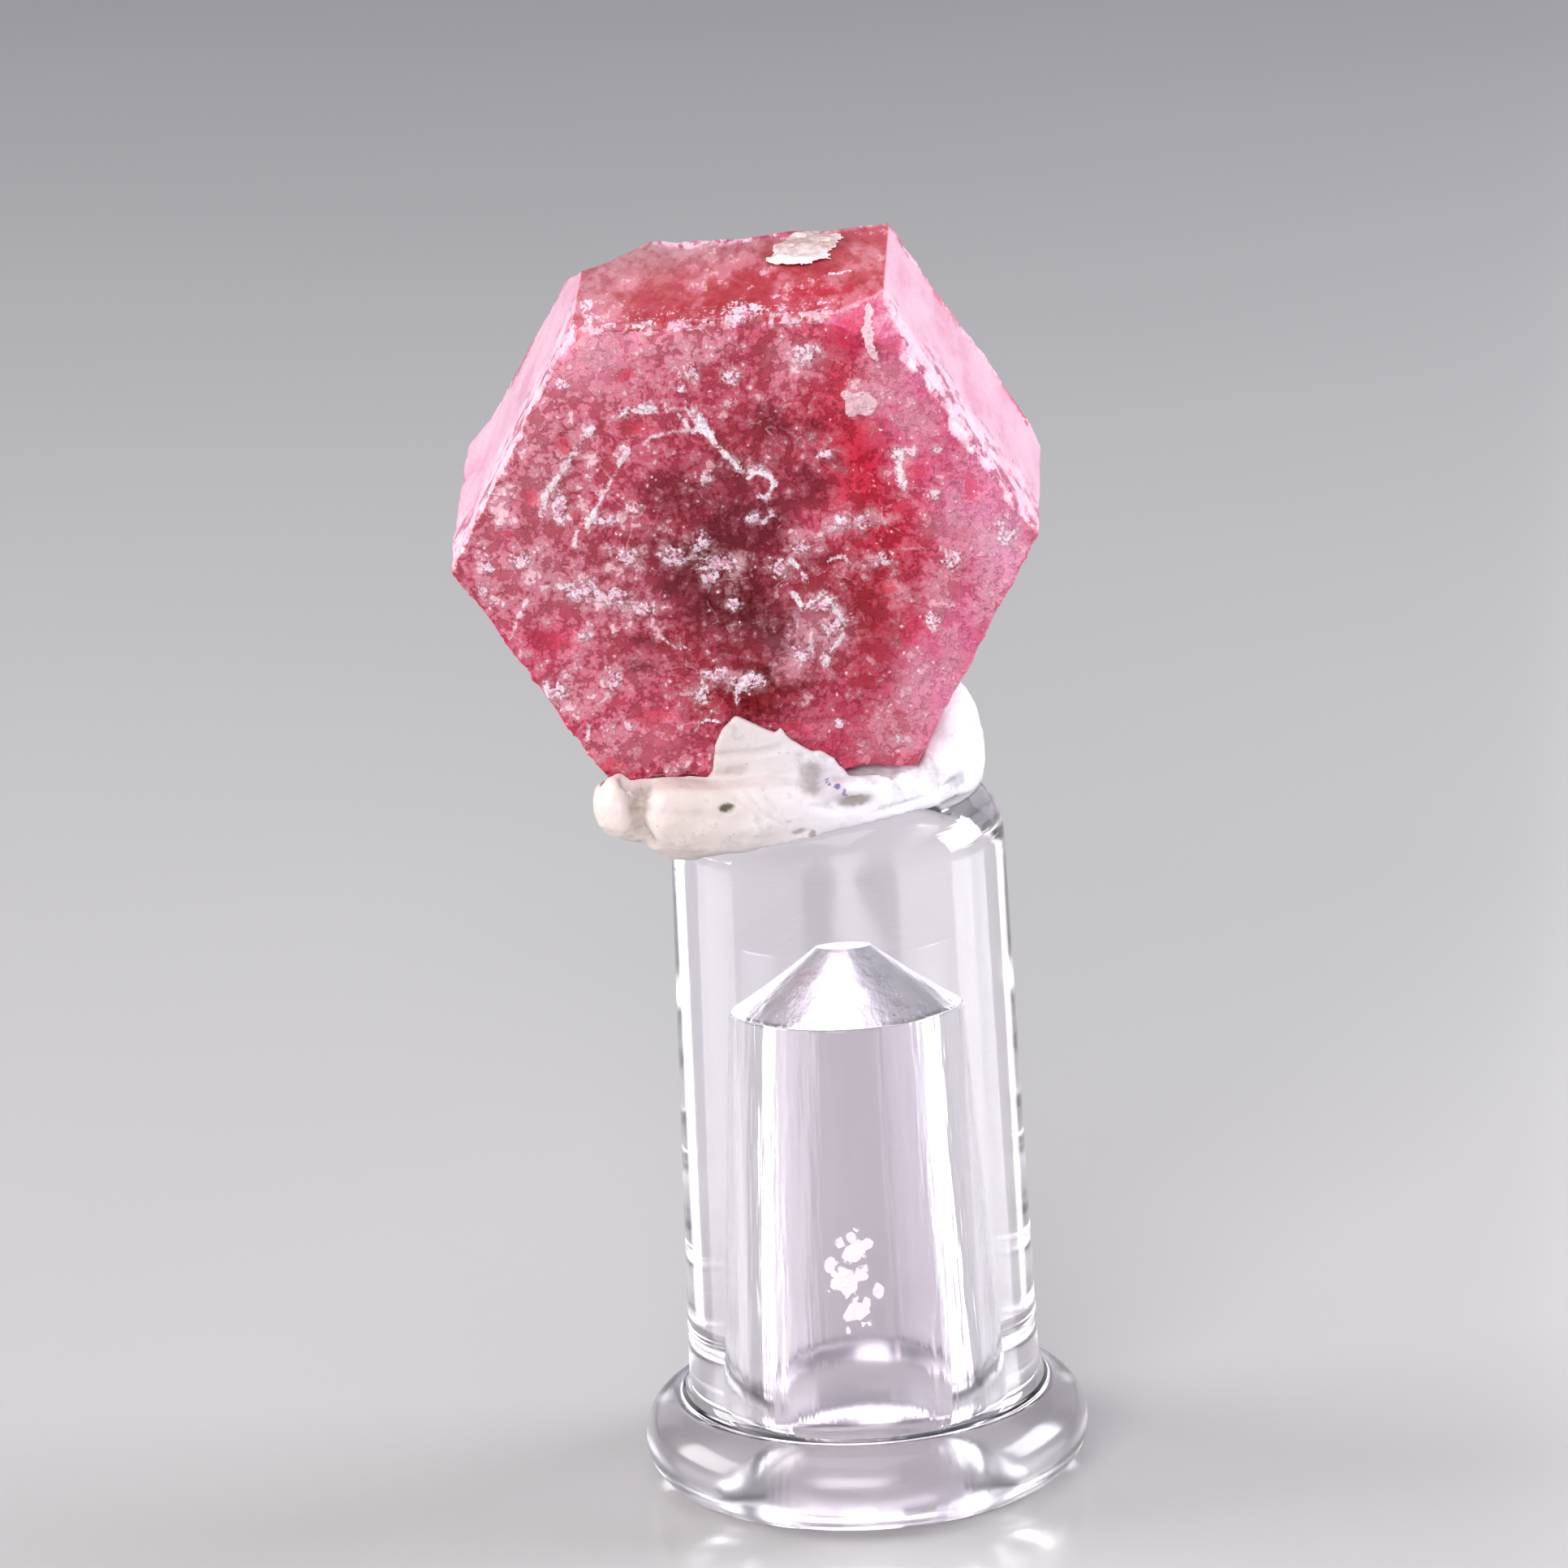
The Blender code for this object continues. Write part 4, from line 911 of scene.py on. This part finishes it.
def crystalPaint():
    paint = Paint("berylSurface")
    coords = paint.place(beryl["centre"], crystalTurn, beryl["drawn"])
    crisp = paint.warp(coords, 6.0, 0.11)
    scales, layers, tones = beryl["scales"], beryl["layers"], beryl["tones"]
    patchy = paint.noise(coords, scales["patch"], 5.0, 0.6)
    clumps = paint.noise(crisp, scales["clump"], 6.0, 0.66)
    crumbs = paint.noise(crisp, scales["crumb"], 5.0, 0.66)
    tiny = paint.noise(coords, scales["tiny"], 3.0, 0.7)
    reachA, chanceA = paint.grains(crisp, scales["grain"])
    reachB, chanceB = paint.grains(crisp, scales["fineGrain"])
    glass = paint.attribute("glass") + (crumbs - 0.5) * 2.6 + (clumps - 0.5) * 2
    glass = (glass + (tiny - 0.5) * 1.8 + (chanceB - 0.5) * 0.9 - (reachB - 0.4)).step(-0.2, 0.4)
    calm = (paint.attribute("calm") + (patchy - 0.5)).step(-0.4, 0.6)
    loud = 1 - calm * 0.6
    front = paint.attribute("front")
    top = paint.attribute("topFace")
    wash = paint.attribute("wash", "Color")
    lit = paint.channel(wash, "Green").step(-0.03, 0.16)

    # sugary crumbs and the dark gaps between them
    dry = 1 - glass * 0.7
    lump = (chanceA - 0.5) * 0.2 - (reachA - 0.4) * 0.27
    lump = lump + (chanceB - 0.5) * 0.16 - (reachB - 0.4) * 0.2
    sugar = clumps * 0.8 + crumbs * 0.55 + patchy * 0.7 - 0.5 + lump
    finer = sugar + (tiny - 0.5) * 0.2
    paleOne = sugar.step(0.47, 0.62) * dry
    paleTwo = finer.step(0.6, 0.69) * dry
    darkOne = sugar.step(0.52, 0.4) * dry
    darkTwo = finer.step(0.42, 0.34) * dry

    # white crusts with a haze round them, and cracks
    ragged = (tiny - 0.5) * 2.2 + (chanceB - 0.5) * 0.7 + (crumbs - 0.5) * 2.2
    crust = paint.attribute("frost")
    frost = (crust + ragged).step(0.05, 0.4) * crust.step(-0.7, -0.1)
    gaps = (crust - ragged).step(0.2, 0.6)
    haze = (crust + (clumps - 0.5) * 1.8 + (patchy - 0.5)).step(-0.75, 0.2)
    haze = haze * (crumbs + (tiny - 0.5) * 0.5).step(0.38, 0.56)
    cracks = paint.node("ShaderNodeTexVoronoi", {"feature": "DISTANCE_TO_EDGE"},
                        {"Vector": paint.warp(coords, 2.0, 0.14), "Scale": scales["crack"]})
    cracks = (cracks + (tiny - 0.5) * 0.03).step(0.02, 0.004)
    cracks = cracks * (patchy + (crumbs - 0.5) * 0.8).step(0.5, 0.6) * loud

    # veins with a fringe of frost
    gap = paint.attribute("veinGap") + (tiny - 0.5) * 0.11 - (crumbs - 0.5) * 0.2
    gap = gap + (chanceB - 0.5) * 0.03
    vein = gap.step(0.02, -0.015) * (clumps * 1.5 + tiny * 0.5).step(0.84, 1.06)
    fringe = (gap * -5 + 0.35 + (tiny - 0.5) * 2.2).step(0.3, 0.6) * gap.step(0.11, 0.03)
    frost = frost.over(fringe * layers["fringe"])
    sparkle = (tiny + (chanceB - 0.5) * 0.3).step(0.42, 0.58)
    frostTone = paint.mix(sparkle, beryl["ice"], beryl["frostWhite"])

    # the worn rim, lighter partly from wear and partly as a painted highlight; the raised plates
    # with a painted highlight round their edge; and painted glints on single bright grains
    # the rim line is lighter partly from wear and partly as a painted highlight along the edge
    rim = (paint.attribute("rim") + (tiny - 0.5) * 0.2).step(0.07, 0.02)
    rim = rim * (patchy + (chanceB - 0.5) * 0.2).step(0.47, 0.54)
    plate = paint.attribute("plate")
    # painted glints: a few single grains laid on in white as sparkling highlights
    glint = chanceB.step(0.93, 0.95) * reachB.step(0.36, 0.18)
    glint = glint * (patchy + (clumps - 0.5) * 0.6).step(0.42, 0.55)

    skin = paint.laid(
        wash,
        (darkOne * loud * layers["shadeOne"], beryl["shadeOne"], "MULTIPLY"),
        (darkTwo * loud * layers["shadeTwo"], beryl["shadeTwo"], "MULTIPLY"),
        (paleOne * loud * (lit * 0.42 + 0.16), paint.mix(lit, beryl["dimCrumb"], beryl["crumb"])),
        (paleTwo * loud * (lit * 0.56 + 0.05), beryl["paleCrumb"]),
        (glass * lit * layers["glass"], beryl["glassRed"]),
        (plate.step(0.35, 0.6) * layers["plate"], beryl["plate"]),
        # a painted highlight round the edge of the raised plates
        (plate.step(0.2, 0.5) * plate.step(0.95, 0.7) * layers["plateRim"], beryl["white"]),
        (gaps * layers["gap"], beryl["gap"]),
        (haze * layers["haze"], beryl["haze"]),
        (frost * layers["frost"], frostTone),
        (cracks * layers["crack"], beryl["paleCrumb"]),
        (vein * layers["vein"], beryl["white"]),
        # the rim: partly wear, partly a painted highlight along the edge
        (rim * layers["rim"],
         paint.mix(paint.attribute("upperRim"), tones["hotPink"], beryl["rimPink"])),
        # painted glints
        (glint * layers["glint"], beryl["white"]))

    # the top and the long faces
    streak = paint.noise(coords, scales["streak"], 4.0, 0.55)
    drag = paint.noise(crisp, scales["drag"], 5.0, 0.62)
    specks = (tiny + (crumbs - 0.5) * 0.8).step(0.6, 0.66) * paint.part(coords, "Y").step(0.5, 0.15)
    topSkin = paint.laid(
        wash,
        (drag.step(0.5, 0.4) * 0.3, beryl["shadeOne"], "MULTIPLY"),
        (crumbs.step(0.53, 0.42) * 0.35, beryl["shadeOne"], "MULTIPLY"),
        ((drag + patchy - 0.5).step(0.5, 0.7) * 0.4, beryl["crumb"]),
        (darkTwo * 0.4, beryl["shadeOne"], "MULTIPLY"),
        ((paleTwo * tiny).step(0.4, 0.6) * 0.5, beryl["paleCrumb"]),
        (specks * 0.9, beryl["white"]),
        (frost * layers["frost"], frostTone))
    band = paint.attribute("upperBand")
    turned = paint.node("ShaderNodeMapping", {"vector_type": "TEXTURE"},
                        {"Vector": coords, "Rotation": (0, beryl["edgeTurn"], 0),
                         "Scale": (1.7, 0.6, 1)})
    ledge = paint.noise(turned, scales["ledge"], 3.0, 0.6)
    # dark dashes along the steps beside the upper edges: painted shadow lines under the steps
    pit = (ledge + (tiny - 0.5) * 0.25).step(0.57, 0.61) * band
    # the long faces: pale pink, lightened as a painted sheen on the upper faces; the lower faces
    # are laid over in deeper raspberry
    side = paint.laid(
        beryl["sideSheenPink"],
        (streak.step(0.35, 0.7) * 0.3, beryl["paleCrumb"]),
        ((streak + (patchy - 0.5)).step(0.4, 0.28) * 0.25, beryl["sideRose"]),
        (band * clumps.step(0.52, 0.45) * 0.4, beryl["sideRose"]),
        # pale lines along the same steps: painted highlights on their edges
        (band * (0.5 - ledge).step(-0.06, 0.02) * 0.35, beryl["white"]),
        (pit * 0.8, beryl["pit"]),
        (paint.attribute("lowFace") * 0.75,
         paint.mix(streak.step(0.4, 0.62), tones["raspberry"], tones["raspPink"])),
        (top, topSkin))

    rough = 0.36 - glass * 0.22 + paleOne * 0.1 + frost * 0.15
    height = paleOne * 0.45 + paleTwo * 0.5 - darkTwo * 0.5 + tiny * (0.7 - frost * 0.3)
    height = height + frost * 0.3
    height = height * (front * 0.8 + 0.2) + drag * top * 0.4
    return paint.done(paint.shader({
        "Base Color": paint.mix(front, side, skin), "Roughness": rough.held(),
        "IOR": beryl["refraction"], "Specular IOR Level": beryl["specular"],
        "Subsurface Weight": beryl["scatter"], "Subsurface Radius": (1.0, 0.35, 0.35),
        "Subsurface Scale": beryl["scatterReach"] / perMetre,
        "Coat Weight": beryl["coat"], "Coat Roughness": beryl["coatRoughness"],
        "Normal": paint.bump(height, beryl["grainBump"], 0.9)}))


crystalStone = finishPiece(makeCrystal(), crystalPaint(), "crystal", crystalPlace,
                           beryl["smoothAngle"])


crust = {
    "netSize": 0.032, "sink": 0.09, "lumps": (0.22, 0.1), "grains": (0.09, -0.03),
    "grey": srgb("e6d2d1"), "dark": srgb("b89894"), "white": srgb("f8eef2"),
    "roughness": 0.7, "scatter": 0.1, "scatterReach": 0.2, "bump": 0.05,
}


def makeCrust():
    piece = copyOfNode("matrix_crust", "matrixCrust")
    modify(piece, "REMESH", mode="VOXEL", voxel_size=crust["netSize"])
    modify(piece, "SMOOTH", factor=0.5, iterations=2)
    size, height = crust["lumps"]
    modify(piece, "DISPLACE", texture=texture("rockLumps", "CLOUDS", size, noise_depth=3),
           strength=height, mid_level=0.5)
    size, height = crust["grains"]
    modify(piece, "DISPLACE", texture=texture("rockGrains", "VORONOI", size), strength=height,
           mid_level=0.3)
    places = points(piece)
    down = np.array(crystalPlace.to_3x3() @ Vector((0, 0, -1)))
    movePoints(piece, places + down * crust["sink"])
    return piece


def crustPaint():
    paint = Paint("hostRock")
    coords = paint.place(beryl["centre"], crystalTurn)
    mid = paint.noise(coords, 3.0, 6.0, 0.65)
    fine = paint.noise(coords, 14.0, 4.0)
    reach, chance = paint.grains(coords, 8.0)
    parts = paint.part(coords, "Y")
    # the crust's front edge laid on in white: a painted highlight
    nose = (parts + (mid - 0.5) * 0.6).step(3.1, 2.75)
    tone = paint.laid(
        crust["dark"], (mid.step(0.35, 0.65), crust["grey"]),
        (chance.step(0.75, 0.9) * 0.5, crust["white"]), (nose, crust["white"]))
    return paint.done(paint.shader({
        "Base Color": tone, "Roughness": crust["roughness"],
        "Subsurface Weight": crust["scatter"],
        "Subsurface Scale": crust["scatterReach"] / perMetre,
        "Normal": paint.bump(fine + mid, crust["bump"], 0.8)}))


matrixCrust = finishPiece(makeCrust(), crustPaint(), "matrix_crust")


putty = {
    "netSize": 0.045, "lumps": (0.8, 0.16), "skin": (0.2, 0.03),
    "warm": srgb("d6c9c5"), "cool": srgb("e4e1ea"), "shade": srgb("8f8074"),
    "roughness": 0.5, "scatter": 0.2, "scatterReach": 0.3, "bump": 0.05,
    "flapThickness": 0.13, "flapRoot": -4.45, "flapCut": -4.12,
    # a thin torn tongue on the end face: across and up
    "flap": ((-0.8, -4.00), (-0.77, -3.85), (-0.72, -3.52), (-0.59, -3.24), (-0.34, -2.98),
             (-0.12, -3.1), (0.1, -3.22), (0.36, -3.34), (0.42, -3.22), (0.54, -3.42),
             (0.78, -3.61), (0.96, -3.72), (1.07, -3.68), (1.32, -3.86), (1.38, -3.98),
             (1.52, -4.1)),
    # creases in the front: half width, depth, then the points (x, z) they run through
    "creases": (
        (0.09, 0.22, ((-2.01, 13.55), (-2.15, 13.22), (-2.22, 12.9), (-2.19, 12.64),
                      (-2.08, 12.4))),
        (0.07, 0.13, ((-2.45, 13.62), (-2.34, 13.3), (-2.24, 13.0))),
        (0.08, 0.045, ((-2.0, 13.02), (-1.3, 12.94), (-0.55, 12.81), (0.08, 12.89))),
        (0.025, 0.035, ((-0.53, 13.2), (-0.19, 12.97), (0.07, 12.63))),
        (0.025, 0.035, ((-0.25, 13.23), (-0.05, 12.96), (0.24, 12.74))),
        (0.025, 0.03, ((0.03, 13.17), (0.22, 12.94), (0.4, 12.7))),
        (0.04, 0.06, ((-0.84, 13.82), (-0.49, 13.84), (-0.08, 13.85), (0.28, 13.92))),
        (0.035, 0.06, ((0.78, 13.03), (1.19, 12.89), (1.61, 12.87), (1.82, 12.96))),
        (0.035, 0.06, ((1.96, 12.76), (2.58, 12.82), (3.25, 12.95))),
        (0.04, 0.05, ((2.18, 13.3), (2.24, 12.98), (2.16, 12.77))),
        (0.04, 0.05, ((0.62, 13.75), (0.7, 13.4), (0.6, 13.1))),
        (0.03, 0.04, ((-1.5, 13.5), (-1.0, 13.42), (-0.6, 13.5))),
    ),
    # hollows pressed into the front: x, z, half width, half height, depth
    "dents": ((-0.67, 13.03, 0.17, 0.1, 0.14), (0.85, 13.35, 0.3, 0.3, 0.14),
              (1.5, 13.02, 0.4, 0.16, 0.14), (0.6, 12.52, 0.2, 0.1, 0.05),
              (2.9, 13.1, 0.25, 0.25, 0.08)),
    # dirt on the front: x, z, half width, half height, strength, colour
    "dirt": (
        (-0.67, 13.03, 0.16, 0.08, 0.9, srgb("5f5a41")),
        (0.82, 13.38, 0.16, 0.26, 0.5, srgb("8e7f79")),
        (1.1, 13.25, 0.34, 0.28, 0.35, srgb("a294a0")),
        (1.52, 13.0, 0.34, 0.12, 0.75, srgb("86756b")),
        (0.55, 12.54, 0.12, 0.06, 0.55, srgb("8a6a5c")),
        (0.77, 12.48, 0.07, 0.12, 0.6, srgb("80614f")),
        (-2.2, 12.95, 0.08, 0.4, 0.3, srgb("8d7666")),
        (-0.5, 13.55, 0.25, 0.12, 0.3, srgb("8f8a80")),
        (1.1, 13.31, 0.05, 0.04, 0.8, srgb("5b3a92")),
        (1.24, 13.26, 0.08, 0.035, 0.8, srgb("5b3a92")),
        (1.36, 13.14, 0.04, 0.06, 0.7, srgb("63479a")),
        (3.3, 12.95, 0.2, 0.16, 0.5, srgb("8c8990")),
    ),
}


def makePutty():
    piece = copyOfNode("putty", "puttyBed")
    inverse = crystalPlace.inverted()
    for vert in piece.data.vertices:  # clears the end face for a finer tongue
        seen = inverse @ vert.co
        if seen.y < 0.12 and seen.z > putty["flapCut"] and abs(seen.x) < 2.2:
            seen.z = putty["flapCut"]
            vert.co = crystalPlace @ seen
    outline = putty["flap"] + ((1.6, putty["flapRoot"]), (-0.9, putty["flapRoot"]))
    bpy.ops.mesh.primitive_circle_add(vertices=len(outline), radius=1.0, fill_type="NGON")
    flap = bpy.context.object
    thickness = putty["flapThickness"]
    for vert, (across, up) in zip(flap.data.vertices, outline):
        vert.co = (across, -0.04 - thickness, up)
    editAll(flap)
    bpy.ops.mesh.extrude_region_move(TRANSFORM_OT_translate={"value": (0, thickness, 0)})
    pickAll()
    bpy.ops.mesh.normals_make_consistent(inside=False)
    only(flap)
    flap.matrix_world = crystalPlace
    bpy.ops.object.transform_apply(location=True, rotation=True, scale=True)
    piece.select_set(True)
    bpy.context.view_layer.objects.active = piece
    bpy.ops.object.join()
    modify(piece, "REMESH", mode="VOXEL", voxel_size=putty["netSize"])
    modify(piece, "SMOOTH", factor=0.5, iterations=2)
    places = points(piece)
    local = (places - np.array(beryl["centre"])) @ np.array(crystalPlace.to_3x3())
    roll = np.clip((putty["flapCut"] + 0.25 - local[:, 2]) / 0.25, 0, 1)
    group = weights(piece, "roll", roll * 0.85 + 0.15)
    size, height = putty["lumps"]
    modify(piece, "DISPLACE", texture=texture("puttyLumps", "CLOUDS", size, noise_depth=1),
           strength=height, mid_level=0.5, vertex_group=group)
    size, height = putty["skin"]
    modify(piece, "DISPLACE", texture=texture("puttySkin", "CLOUDS", size, noise_depth=2),
           strength=height, mid_level=0.5, vertex_group=group)
    places = points(piece)
    facing = normals(piece)
    frontal = soft(-facing[:, 1], -0.25, 0.2) * (places[:, 1] < -0.5)
    sink = np.zeros(len(places))
    for half, depth, path in putty["creases"]:
        sink += depth * np.exp(-(pathGap(places, path) / (half * 1.5)) ** 2)
    for x, z, wide, high, depth in putty["dents"]:
        reach = np.hypot((places[:, 0] - x) / wide, (places[:, 2] - z) / high)
        sink += depth * np.clip(1 - reach * reach, 0, 1)
    movePoints(piece, places - facing * (sink * frontal)[:, None])
    writeField(piece, "sunk", sink * frontal)
    writeField(piece, "frontal", frontal)
    return piece


def puttyPaint():
    paint = Paint("whitePutty")
    coords = paint.place()
    mid = paint.noise(coords, 1.4, 5.0, 0.6)
    fine = paint.noise(coords, 9.0, 5.0, 0.65)
    frontal = paint.attribute("frontal")
    across = paint.part(coords, "X")
    # warmer on the left, paler and cooler to the right: painted light falling from the right
    tone = paint.mix((across + (mid - 0.5) * 2.5).step(-1.6, 2.2), putty["warm"], putty["cool"])
    tone = paint.mix((mid + fine * 0.5).step(0.78, 0.95) * 0.3, tone, putty["shade"])
    # darker in the creases and dents: painted shade
    tone = paint.mix(paint.attribute("sunk").step(0.04, 0.2) * 0.25, tone, putty["shade"])
    specks, chance = paint.grains(coords, 7.0)
    dust = chance.step(0.9, 0.94) * specks.step(0.22, 0.1)
    tone = paint.mix(dust * across.step(1.5, -0.5) * 0.5, tone, putty["shade"])
    bent = paint.warp(coords, 5.0, 0.2)
    for x, z, wide, high, strength, colour in putty["dirt"]:
        offset = paint.vector("SUBTRACT", bent, (x, 0, z))
        offset = paint.vector("MULTIPLY", offset, (1 / wide, 0, 1 / high))
        reach = paint.vector("LENGTH", offset, out="Value")
        stain = reach.step(1.15, 0.5) * frontal * strength
        tone = paint.mix(stain, tone, colour)
    return paint.done(paint.shader({
        "Base Color": tone, "Roughness": putty["roughness"],
        "Subsurface Weight": putty["scatter"], "Subsurface Radius": (1.0, 0.8, 0.7),
        "Subsurface Scale": putty["scatterReach"] / perMetre,
        "Normal": paint.bump(fine * 0.6 + mid, putty["bump"], 0.6)}))


puttyBed = finishPiece(makePutty(), puttyPaint(), "putty")
